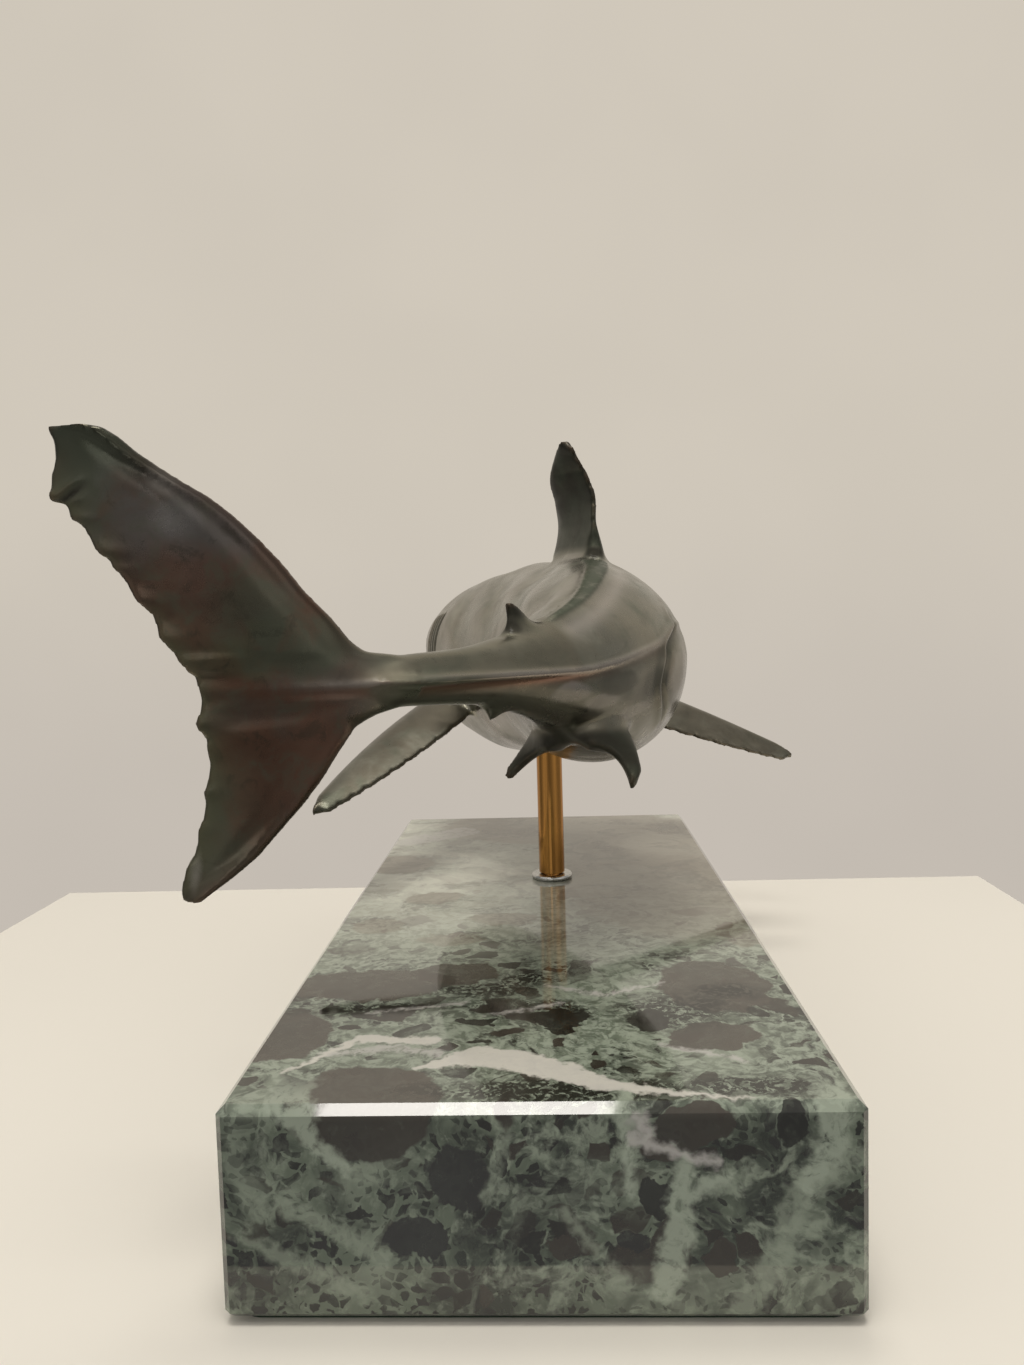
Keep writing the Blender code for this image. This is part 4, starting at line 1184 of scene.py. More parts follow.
def overLayers(tree, tone, patterns, layers, tones):
    for pattern, low, high, share, name in layers:
        tone = blendOf(tree, span(tree, patterns[pattern], low, high, 0.0, share), tone, tones[name])
    return tone


def overMarks(tree, tone, layers, tones):
    for name, share, finish in layers:
        tone = blendOf(tree, times(tree, mark(tree, name), share), tone, tones[finish])
    return tone


def overPlaces(tree, tone, coords, places, soft, tones):
    for centre, size, finish, share in places:
        place = nearPlace(tree, coords, centre, size, soft)
        tone = blendOf(tree, times(tree, place, share), tone, tones[finish])
    return tone


patinaAndPaintedLight = {
    # the bronze's own tones, and tones that paint light: two pale tones for painted highlights, sheen and
    # reflections, a tone that is streaks in the bronze and painted shade in places, and the dark tone, which
    # is the specks' own colour and painted shade in hollows, under the body and below the keel
    "olive": (0.250, 0.232, 0.176), "grey": (0.225, 0.214, 0.174), "pale": (0.365, 0.350, 0.285),
    "green": (0.128, 0.145, 0.104), "dark": (0.060, 0.056, 0.043), "umber": (0.165, 0.135, 0.100),
    "finDark": (0.032, 0.031, 0.022), "finGreen": (0.046, 0.052, 0.036), "tailBrown": (0.086, 0.071, 0.057),
    "tailRed": (0.100, 0.053, 0.035), "tailGreen": (0.074, 0.079, 0.055), "tailBlue": (0.092, 0.083, 0.077),
    "tailTip": (0.081, 0.090, 0.068), "keelRed": (0.200, 0.085, 0.052), "rim": (0.140, 0.085, 0.052),
    "lichen": (0.098, 0.098, 0.056), "strip": (0.078, 0.088, 0.062), "paintedHighlight": (0.170, 0.162, 0.158),
    "streaksAndFacetShade": (0.125, 0.120, 0.095), "paintedSheen": (0.400, 0.370, 0.335),
    "metallic": 0.92, "coat": 0.15, "coatRoughness": 0.16,
    # coordinates, scale in 1/m, detail, roughness and distortion of each pattern
    "shift": (3.1, 1.7, 0.4), "drawnOut": (1.0, 0.22, 1.0), "wander": (70.0, 4.0),
    "patterns": {"broad": ("plain", 21.0, 4.0, 0.55, 0.8), "cloudy": ("plain", 46.0, 6.0, 0.62, 0.5),
                 "patches": ("shifted", 38.0, 5.0, 0.60, 0.9), "mottle": ("shifted", 130.0, 6.0, 0.66, 0.6),
                 "streaks": ("drawn", 90.0, 4.0, 0.6, 0.6), "grain": ("plain", 420.0, 5.0, 0.65),
                 "speck": ("shifted", 700.0, 3.0, 0.6), "lumps": ("plain", 60.0, 3.0, 0.5)},
    # grounds of two tones: pattern, and its values where the second tone starts and is full
    "ground": ("broad", 0.36, 0.64), "tailGround": ("patches", 0.42, 0.62),
    "finGround": ("broad", 0.42, 0.60),
    # tones laid over them: pattern, its values where a tone starts and is full, most share, tone
    "bodyLayers": (("cloudy", 0.50, 0.70, 0.75, "pale"), ("patches", 0.50, 0.68, 0.60, "green"),
                   ("broad", 0.54, 0.42, 0.50, "umber"), ("streaks", 0.52, 0.74, 0.35, "streaksAndFacetShade"),
                   ("mottle", 0.56, 0.72, 0.30, "green")),
    "tailClouds": (("cloudy", 0.52, 0.70, 0.70, "tailGreen"),),
    "tailLayers": (("mottle", 0.50, 0.66, 0.50, "tailGreen"), ("streaks", 0.52, 0.70, 0.40, "tailRed"),
                   ("mottle", 0.46, 0.34, 0.45, "finDark")),
    "specks": (("speck", 0.64, 0.80, 0.40, "dark"),),
    # marks of the modelling: most share and tone; the back's arcs and valley take a painted sheen
    "backMarks": (("arcs", 0.40, "paintedSheen"), ("valley", 0.75, "paintedSheen")),
    # painted shade under the body
    "tailMarks": (("lead", 0.60, "tailRed"),), "underShadeMarks": (("under", 0.66, "dark"),), "fin": 0.93,
    # painted shade below the keel and a painted highlight along its crest, beside the keel's red band and the
    # worn rims
    "keelMarks": (("keelBelow", 0.85, "keelRed"), ("keelShade", 0.45, "dark"),
                  ("keelCrest", 0.75, "paintedSheen"), ("crest", 0.50, "rim")),
    # marks broken up by a pattern: its values where it starts and is full, least and most share
    "stockCover": ("broad", 0.30, 0.60, 0.25, 0.70), "lichenCover": ("cloudy", 0.34, 0.60, 0.2, 0.9),
    "highCover": ("cloudy", 0.30, 0.60, 0.90, 1.0), "stripCover": ("mottle", 0.30, 0.52, 0.55, 1.0),
    # painted shade in hollows, slits, pits and creases: shares of the hollow and fold marks, the others being
    # whole
    "hollow": 0.55, "fold": 0.65,
    # roughness: its ground, then what each mark adds
    "rough": (0.30, 0.70, 0.22, 0.36), "roughMottle": (0.35, 0.70, -0.03, 0.07),
    "roughStrip": 0.30, "roughFin": 0.16, "roughLichen": 0.20, "roughHollow": 0.40, "roughCrest": -0.06,
    # bump: strength and depth of the lumps and of the grain
    "lumpBump": (0.10, 0.0010), "grainBump": (0.12, 0.00012),
    # how far the edges of the places below wander, in metres, and how soft they are
    "tailWander": (0.018, 0.45), "tailSpotsWander": (0.004, 0.70), "bodyWander": (0.006, 0.22),
    "shadedFeetWander": (0.003, 0.55), "polishSoft": 0.60,
    # places that take another tone, in millimetres: centre, half sizes, tone, share. Those on the tail are
    # its own colour, then painted highlights and a brown patch; those on the body are painted reflection and
    # painted shade
    "tailPlaces": (((-87.1, -137, 192.1), (16, 30, 15), "tailTip", 0.9),
                   ((-76, -133, 176), (17, 30, 16), "tailBlue", 0.9),
                   ((-74, -132, 160), (12, 30, 11), "tailRed", 0.75),
                   ((-62, -130, 154), (10, 30, 10), "tailGreen", 0.7),
                   ((-65.5, -129, 147), (11, 30, 5), "lichen", 0.45),
                   ((-50, -124, 148), (11, 30, 8), "tailGreen", 0.9),
                   ((-60, -128, 125), (16, 30, 13), "tailRed", 0.9),
                   ((-70, -129, 108), (11, 30, 12), "tailGreen", 0.75),
                   ((-64, -129, 112), (6, 30, 9), "tailRed", 0.6),
                   ((-64, -129, 133), (10, 30, 4), "tailBrown", 0.6)),
    # painted highlights on the tail: the pale spots on the upper lobe, its rim and the lower tip; the brown
    # patch is the root's own colour
    "tailWorn": (((-76.6, -133, 177.7), (4.2, 30, 4), "paintedHighlight", 0.5),
                 ((-76, -133, 184.5), (5, 30, 2.2), "paintedHighlight", 0.35),
                 ((-78.5, -133.4, 187), (3, 20, 3.4), "paintedSheen", 0.55),
                 ((-38, -119, 138.5), (10, 20, 4), "tailBrown", 0.7),
                 ((-77.8, -130.5, 97.8), (1.5, 30, 4.5), "paintedSheen", 0.65)),
    # painted reflection on the body: the pale places; painted shade: the two darker places on the right flank
    "bodyPlaces": (((9.5, -74, 131.8), (8, 8, 3), "paintedSheen", 0.75),
                   ((20, -65, 128.5), (8, 8, 2.6), "paintedSheen", 0.8),
                   ((31, -49, 123.8), (7.5, 9, 2.6), "paintedSheen", 0.7),
                   ((25.5, -62, 133.5), (9, 10, 3.6), "streaksAndFacetShade", 0.75),
                   ((38, -45, 131.8), (6, 9, 5.2), "streaksAndFacetShade", 0.75),
                   ((-15, 36, 110), (9, 16, 6), "paintedSheen", 0.6)),
    # painted shade at the feet of the fins: centre and half sizes
    "shadedFeet": (((-4.9, -80.8, 150), (3, 2.4, 2.6)), ((22.2, 4.6, 174.8), (4, 2.6, 2.4)),
             ((8.5, -60, 116), (9, 11, 4))),
    # places made glossier where the painted highlights are, or left dull: centre, half sizes, change in
    # roughness
    "polish": (((-78.5, -133.4, 187), (5.2, 20, 5), -0.22), ((-77.8, -130.5, 97.8), (2.2, 20, 4.5), -0.22),
               ((-76.6, -133, 177.7), (5, 20, 5), -0.1), ((-36.2, -119, 139.6), (8.5, 10, 4.5), 0.34)),
}


def bronzeMaterial():
    made, tree, shader = newMaterial("bronzePatinaAndPaintedLight")
    coords = objectCoords(tree)
    kinds = {"plain": coords, "shifted": mapped(tree, coords, "Location", patinaAndPaintedLight["shift"]),
             "drawn": mapped(tree, coords, "Scale", patinaAndPaintedLight["drawnOut"])}
    patterns = {name: noiseOf(tree, kinds[kind], *form) for name, (kind, *form) in patinaAndPaintedLight["patterns"].items()}
    wander = colourNoise(tree, coords, *patinaAndPaintedLight["wander"])

    def ground(name, low, high):
        pattern, start, full = patinaAndPaintedLight[name]
        return blendOf(tree, span(tree, patterns[pattern], start, full), patinaAndPaintedLight[low], patinaAndPaintedLight[high])

    def brokenMark(name, cover):
        pattern, *ends = patinaAndPaintedLight[cover]
        return times(tree, mark(tree, name), span(tree, patterns[pattern], *ends))

    def onPlaces(tone, places, wanderName):
        share, soft = patinaAndPaintedLight[wanderName]
        return overPlaces(tree, tone, wandering(tree, coords, (wander, share)), patinaAndPaintedLight[places], soft, patinaAndPaintedLight)

    tone = ground("ground", "olive", "grey")
    tone = overLayers(tree, tone, patterns, patinaAndPaintedLight["bodyLayers"], patinaAndPaintedLight)
    tone = blendOf(tree, brokenMark("stock", "stockCover"), tone, patinaAndPaintedLight["green"])
    # painted sheen on the back's arcs and valley
    tone = overMarks(tree, tone, patinaAndPaintedLight["backMarks"], patinaAndPaintedLight)
    # painted reflection and painted shade on the flank
    tone = onPlaces(tone, "bodyPlaces", "bodyWander")

    tail = ground("tailGround", "tailBrown", "tailRed")
    tail = overLayers(tree, tail, patterns, patinaAndPaintedLight["tailClouds"], patinaAndPaintedLight)
    tail = onPlaces(tail, "tailPlaces", "tailWander")
    tail = overLayers(tree, tail, patterns, patinaAndPaintedLight["tailLayers"], patinaAndPaintedLight)
    # painted highlights on the tail, and a brown patch at its root
    tail = onPlaces(tail, "tailWorn", "tailSpotsWander")
    lichen = brokenMark("trail", "lichenCover")
    tail = blendOf(tree, lichen, tail, patinaAndPaintedLight["lichen"])
    tail = overMarks(tree, tail, patinaAndPaintedLight["tailMarks"], patinaAndPaintedLight)
    tone = blendOf(tree, mark(tree, "tail"), tone, tail)

    finTone = ground("finGround", "finDark", "finGreen")
    tone = blendOf(tree, brokenMark("high", "highCover"), tone, finTone)
    tone = blendOf(tree, times(tree, mark(tree, "fin"), patinaAndPaintedLight["fin"]), tone, finTone)
    # painted shade under the body
    tone = overMarks(tree, tone, patinaAndPaintedLight["underShadeMarks"], patinaAndPaintedLight)
    strip = brokenMark("strip", "stripCover")
    tone = blendOf(tree, strip, tone, patinaAndPaintedLight["strip"])
    # painted shade below the keel, a painted highlight on its crest, its red band and the worn rims
    tone = overMarks(tree, tone, patinaAndPaintedLight["keelMarks"], patinaAndPaintedLight)

    # painted shade in slits, pits, creases, hollows and at the feet of the fins
    share, soft = patinaAndPaintedLight["shadedFeetWander"]
    uneven = wandering(tree, coords, (wander, share))
    shadedHollows = [mark(tree, name) for name in ("slits", "pit", "overlap", "rear")]
    shadedHollows += [times(tree, mark(tree, name), patinaAndPaintedLight[name]) for name in ("hollow", "fold")]
    shadedHollows += [nearPlace(tree, uneven, *foot, soft) for foot in patinaAndPaintedLight["shadedFeet"]]
    shadeInHollows = most(tree, shadedHollows)
    tone = blendOf(tree, shadeInHollows, tone, patinaAndPaintedLight["dark"])
    tone = overLayers(tree, tone, patterns, patinaAndPaintedLight["specks"], patinaAndPaintedLight)
    wire(tree, tone, shader.inputs["Base Color"])

    rough = plus(tree, span(tree, patterns["cloudy"], *patinaAndPaintedLight["rough"]),
                 span(tree, patterns["mottle"], *patinaAndPaintedLight["roughMottle"]))
    for value, name in ((strip, "roughStrip"), (mark(tree, "fin"), "roughFin"), (lichen, "roughLichen"),
                        (shadeInHollows, "roughHollow"), (mark(tree, "crest"), "roughCrest")):
        rough = plus(tree, rough, times(tree, value, patinaAndPaintedLight[name]), name == "roughHollow")
    for centre, size, change in patinaAndPaintedLight["polish"]:
        place = nearPlace(tree, coords, centre, size, patinaAndPaintedLight["polishSoft"])
        rough = plus(tree, rough, times(tree, place, change), True)
    wire(tree, rough, shader.inputs["Roughness"])
    shader.inputs["Metallic"].default_value = patinaAndPaintedLight["metallic"]
    shader.inputs["Coat Weight"].default_value = patinaAndPaintedLight["coat"]
    shader.inputs["Coat Roughness"].default_value = patinaAndPaintedLight["coatRoughness"]
    lumps = bumpOf(tree, patterns["lumps"], *patinaAndPaintedLight["lumpBump"])
    wire(tree, bumpOf(tree, patterns["grain"], *patinaAndPaintedLight["grainBump"], lumps), shader.inputs["Normal"])
    return made


# each metal's colour and the tone of its streaks, how they cover it, its roughness, and its pattern's scale
metals = {
    "polishedBrass": {"colour": (0.49, 0.240, 0.064), "deep": (0.29, 0.128, 0.030),
                      "cover": (0.3, 0.7, 0.0, 0.35), "roughness": (0.3, 0.7, 0.09, 0.18),
                      "scale": (900.0, 900.0, 12.0), "detail": 3.0},
    "brightSteel": {"colour": (0.62, 0.62, 0.60), "deep": (0.50, 0.50, 0.49),
                    "cover": (0.0, 1.0, 0.0, 1.0, False), "roughness": (0.3, 0.7, 0.16, 0.30),
                    "scale": (900.0, 900.0, 900.0), "detail": 3.0},
}


def metalMaterial(name):
    look = metals[name]
    made, tree, shader = newMaterial(name)
    lines = noiseOf(tree, mapped(tree, objectCoords(tree), "Scale", look["scale"]), 1.0, look["detail"])
    tone = blendOf(tree, span(tree, lines, *look["cover"]), look["colour"], look["deep"])
    wire(tree, tone, shader.inputs["Base Color"])
    shader.inputs["Metallic"].default_value = 1.0
    wire(tree, span(tree, lines, *look["roughness"]), shader.inputs["Roughness"])
    return made


felt = {"dark": (0.012, 0.024, 0.015), "pale": (0.035, 0.055, 0.038), "fibre": (1800.0, 3.0, 0.7),
        "roughness": 0.95, "bump": (0.8, 0.0004)}


def feltMaterial():
    made, tree, shader = newMaterial("greenFelt")
    fibre = noiseOf(tree, objectCoords(tree), *felt["fibre"])
    wire(tree, blendOf(tree, fibre, felt["dark"], felt["pale"]), shader.inputs["Base Color"])
    shader.inputs["Roughness"].default_value = felt["roughness"]
    wire(tree, bumpOf(tree, fibre, *felt["bump"]), shader.inputs["Normal"])
    return made


marbleAndPaintedLight = {
    # the stone's own tones, and painted light: a painted sheen over the top, a paler copy of the brown stones
    # on the top, pale far tones of the top, and the darkest stone tone also giving a painted shadow on the
    # top
    "deep": (0.022, 0.028, 0.020), "green": (0.106, 0.130, 0.093), "pale": (0.268, 0.308, 0.236),
    "band": (0.330, 0.375, 0.295), "topSheen": (0.350, 0.325, 0.275), "darkClast": (0.007, 0.007, 0.005),
    "brownClast": (0.034, 0.028, 0.021), "greyClast": (0.017, 0.017, 0.016),
    "topLitBrown": (0.070, 0.057, 0.044), "farBrown": (0.245, 0.212, 0.163), "farSheenGreen": (0.720, 0.720, 0.610),
    "white": (0.66, 0.64, 0.55), "streak": (0.48, 0.46, 0.43), "rust": (0.16, 0.085, 0.035),
    "ior": 1.70, "rough": (0.2, 0.8, 0.0315, 0.072), "bump": (0.03, 0.0003), "topSheenShare": 0.02,
    # the top's heights, the front's and the far part's places along the block, in metres
    "top": (0.0460, 0.0495), "nearFront": (-0.130, -0.144), "far": (-0.10, 0.07),
    # scale in 1/m and detail of the noises that move the coordinates, and how far each moves them in metres
    "noises": {"slow": (24.0, 3.0), "quick": (140.0, 4.0), "feather": (420.0, 4.0)},
    "wander": {"bent": (("slow", 0.016), ("quick", 0.0055)), "lean": (("slow", 0.0040), ("quick", 0.0044)),
               "frayed": (("feather", 0.0044),),
               "chipped": (("slow", 0.0080), ("quick", 0.0090), ("feather", 0.0020))},
    # coordinates, scale in 1/m, detail, roughness and distortion of each pattern
    "patterns": {"broad": ("bent", 17.0, 4.0, 0.6, 0.5), "middle": ("bent", 62.0, 5.0, 0.62, 0.8),
                 "fine": ("bent", 330.0, 5.0, 0.65, 0.4), "thread": ("bent", 36.0, 6.0, 0.55, 0.6),
                 "clouds": ("lean", 34.0, 4.0, 0.6, 0.6), "crumbs": ("chipped", 620.0, 3.0, 0.55)},
    # where each tone starts and is full in its pattern, and its least and most share
    "matrix": (0.36, 0.60),
    "ground": (("clouds", 0.50, 0.68, 0.55, "pale"), ("fine", 0.50, 0.74, 0.55, "pale")),
    "topPale": (0.40, 0.60, 0.10, 0.80), "bareTop": (0.42, 0.54, 0.10, 0.95),
    "threadHalf": 0.045, "threadBroad": (0.42, 0.62, 0.10, 1.0), "threadFine": (0.32, 0.58, 0.10, 0.85),
    "stoneFlecks": (0.50, 0.80, 0.0, 0.30), "stoneHold": (0.46, 0.64, 1.0, 0.45),
    "farClouds": (0.40, 0.62, 0.0, 0.45), "farStones": (0.50, 0.34, 0.0, 0.35),
    "farCover": (0.64, 0.40, 0.45, 0.92), "brownCover": (0.36, 0.66, 1.0, 0.72), "brownShares": (0.45, 0.47),
    "placedGrey": (0.35, 0.70, 0.0, 0.30), "placedFlecks": (0.56, 0.80, 0.0, 0.30), "placedFade": 0.75,
    "placedEdge": (0.92, 1.00, 0.94, 0.0), "placedRim": (1.06, 0.06), "rimFlecks": (0.44, 0.62, 0.0, 0.22),
    "shadowBreakup": (0.48, 0.60, 0.96, 0.10), "brownSoft": 0.12, "shadowSoft": 0.50,
    "rustFine": (0.68, 0.78), "rustMiddle": (0.60, 0.70),
    # cells in 1/m, the share of cells that are stone, least and most matrix round a stone as shares of a cell
    "tiny": (460.0, 0.56, 0.07, 0.24), "small": (250.0, 0.44, 0.07, 0.25),
    "medium": (130.0, 0.30, 0.06, 0.26), "large": (60.0, 0.14, 0.07, 0.24),
    # the two tones of each size of stone
    "stones": (("tiny", "darkClast", "deep"), ("small", "darkClast", "greyClast"),
               ("medium", "darkClast", "brownClast"), ("large", "greyClast", "brownClast")),
    # stones that show at the front, in millimetres: centre, half sizes, finish
    "placed": (((-38.5, -146, 51), (18.5, 18, 14), "brownClast"),
               ((-17.6, -150, 34.6), (7.2, 12, 7.7), "greyClast"),
               ((-26.5, -150, 21.1), (8, 10, 4.2), "greyClast"),
               ((25.4, -150, 27.2), (2.6, 6, 4.8), "darkClast"),
               ((0, -150, 19.7), (3.6, 6, 2.6), "darkClast"),
               ((-6.7, -150, 37.6), (2.1, 5, 2.5), "darkClast"),
               ((41.5, -150, 4.6), (2.5, 5, 2.8), "darkClast"),
               ((6.7, -150, 17.6), (3.3, 6, 4), "brownClast"),
               ((38.1, -150, 14.6), (3.3, 6, 3.4), "brownClast"),
               ((54.6, -150, 45.6), (3.2, 6, 4.8), "darkClast"),
               ((34, -150, 45), (8.6, 9, 4.8), "brownClast"),
               ((-17.6, -150, 12.3), (3, 6, 2.3), "darkClast"),
               ((-39.6, -150, 26.9), (2.3, 5, 2), "darkClast"),
               ((21.5, -150, 18.1), (3.5, 6, 2.9), "greyClast"), ((6, -103, 50), (8.5, 5, 6), "darkClast"),
               ((28, -104, 50), (5.6, 5.8, 6), "darkClast"), ((-16, -106, 50), (5, 2.6, 4), "darkClast"),
               ((42, -114, 52), (11.5, 8.5, 10), "brownClast"),
               ((-65, -112, 50), (13, 15, 12), "brownClast"), ((-48, -78, 50), (24, 12, 10), "brownClast"),
               ((-24, -70, 50), (12, 9, 10), "brownClast"), ((48, -82, 50), (16, 20, 12), "brownClast")),
    # brown areas far along the top, and painted shadows nearer, as centre and half sizes in millimetres
    "brownAreas": (((48, 48, 49.5), (44, 96, 20)), ((6, 128, 49.5), (56, 42, 20)),
                   ((-60, 56, 49.5), (16, 16, 20)), ((-40, 6, 49.5), (11, 8, 20)),
                   ((-14, -20, 49.5), (12, 7, 20)), ((-56, -26, 49.5), (9, 8, 20)),
                   ((64, -42, 49.5), (7, 9, 20)), ((-29, -40, 49.5), (11, 6, 20))),
    "shadowAreas": (((35, -98.5, 49.5), (15, 10, 20)), ((6, -141.5, 49.5), (34, 6.2, 10)),
                  ((-5, -75.5, 49.5), (9, 6, 20)), ((4, -98.5, 49.5), (13, 7, 20)),
                  ((-15, -84, 49.5), (15, 6, 20)), ((50, -87, 49.5), (10, 6, 20)),
                  ((-42, -96, 49.5), (18, 4, 20)), ((48, -140, 49.5), (16, 4, 20))),
    # how soft the veins are, in metres, and how the fine pattern breaks them
    "bandSoft": 0.0012, "topSoft": 0.0011, "creamSoft": 0.0007, "frontSoft": 0.0013, "frontShare": 0.8,
    "faintBroken": (0.28, 0.52, 0.15, 0.60), "bandsBroken": (0.28, 0.52, 0.15, 0.85),
    "topBroken": (0.36, 0.56, 0.15, 0.80), "creamBroken": (0.22, 0.42, 0.70, 1.0),
    # their strokes in millimetres: start, end, half width at each
    "cream": (((-28, -130), (-14, -124), 1, 4.6), ((-14, -124), (1, -129.5), 5, 5.2),
              ((1, -129.5), (13, -137.5), 5.2, 3.2), ((13, -138.5), (27, -142.5), 2.8, 1.3),
              ((27, -142.5), (46, -145.5), 1.3, 0.2), ((-60, -133), (-44, -113), 0.4, 1.6),
              ((-44, -113), (-26, -116), 1.6, 2)),
    "topVeins": (((2, -81), (18, -88), 0.8, 1.4), ((18, -88), (34, -79), 1.4, 0.6),
                 ((-14, -101), (6, -94), 0.5, 1), ((-52, -123), (-36, -119), 1.4, 2),
                 ((-36, -119), (-24, -123.5), 2, 1.2), ((30, -118), (47, -127), 0.6, 1),
                 ((-45, -98), (-20, -93), 0.5, 1), ((-66, 95), (-40, 115), 6, 9)),
    "front": (((22.5, 46.5), (24, 42), 1.6, 1.4), ((21.5, 41.8), (38.5, 36.2), 1.6, 0.9)),
    "bands": (((62.8, 51.5), (62.8, 42.8), 3.8, 3.2), ((62.8, 42.8), (56.8, 31.6), 3, 1.6),
              ((31.8, 37), (30.5, 28.8), 1.6, 2.6), ((30.5, 28.8), (30.3, 22.5), 2.6, 3),
              ((30.3, 22.5), (26.5, 7.9), 3, 3.2), ((28.8, 27), (41.5, 33.5), 1.6, 1.2),
              ((-58, 51.5), (-51.2, 46.7), 4, 2.6), ((-51.2, 46.7), (-48.8, 41.4), 2.6, 1.8),
              ((-48.8, 41.4), (-42.1, 36), 1.8, 1.2), ((19, 50), (20.5, 30), 2, 1)),
    "faint": (((67.1, 38.6), (55.5, 29.7), 2.6, 3), ((55.5, 29.7), (50.5, 16.3), 3, 3),
              ((50.5, 16.3), (42.1, 3.7), 3, 2.6), ((-42.1, 36), (-33.8, 33.2), 1.2, 0.6),
              ((-56, 28), (-33.8, 16.3), 2.2, 1.8), ((-65.4, 20.7), (-38.1, 7.4), 1.6, 1.8),
              ((-6, 44), (-11, 30), 1, 1.2), ((6, 26), (18, 10), 1, 1.4)),
}


def stoneLayer(tree, coords, size):
    # angular stones: cells drawn in from their borders, with some of the cells left out
    scale, stones, least, greatest = size
    wires = {"Vector": coords, "Scale": scale, "Randomness": 1.0}
    cells = add(tree, "TexVoronoi", {"feature": "F1"}, wires)
    borders = add(tree, "TexVoronoi", {"feature": "DISTANCE_TO_EDGE"}, wires)
    parts = add(tree, "SeparateColor", None, {"Color": cells.outputs["Color"]})
    held = span(tree, parts.outputs[0], stones - 0.01, stones + 0.01, 1.0, 0.0)
    drawnIn = span(tree, parts.outputs[2], 0.0, 1.0, least, greatest, False)
    inner = plus(tree, drawnIn, 0.05)
    return times(tree, span(tree, borders.outputs["Distance"], drawnIn, inner), held), parts.outputs[1]


def bumpShape(tree, value, centre, width):
    return span(tree, calc(tree, "ABSOLUTE", less(tree, value, centre)), 0.0, width, 1.0, 0.0)


def veinShape(tree, coords, start, end, first, last, plane):
    # how far inside a tapering stroke a point lies, in metres, seen along the axis left out of plane
    a = [0.0, 0.0, 0.0]
    b = [0.0, 0.0, 0.0]
    keep = [0.0, 0.0, 0.0]
    for k, axis in enumerate(plane):
        a[axis], b[axis], keep[axis] = start[k], end[k], 1.0
    step = [q - p for p, q in zip(a, b)]
    reach = sum(s * s for s in step)
    offset = vectors(tree, "SUBTRACT", vectors(tree, "MULTIPLY", coords, tuple(keep)), tuple(a))
    t = plus(tree, vectors(tree, "DOT_PRODUCT", offset, tuple(s / reach for s in step), out=1), 0.0, True)
    along = add(tree, "VectorMath", {"operation": "SCALE"}, {0: tuple(step), "Scale": t}).outputs[0]
    away = vectors(tree, "DISTANCE", offset, along, out=1)
    return less(tree, span(tree, t, 0.0, 1.0, first, last, False), away)


def veinMask(tree, coords, strokes, plane, soft):
    shapes = (veinShape(tree, coords, metres(start), metres(end), *metres(widths), plane)
              for start, end, *widths in strokes)
    return span(tree, most(tree, shapes), -soft, soft)


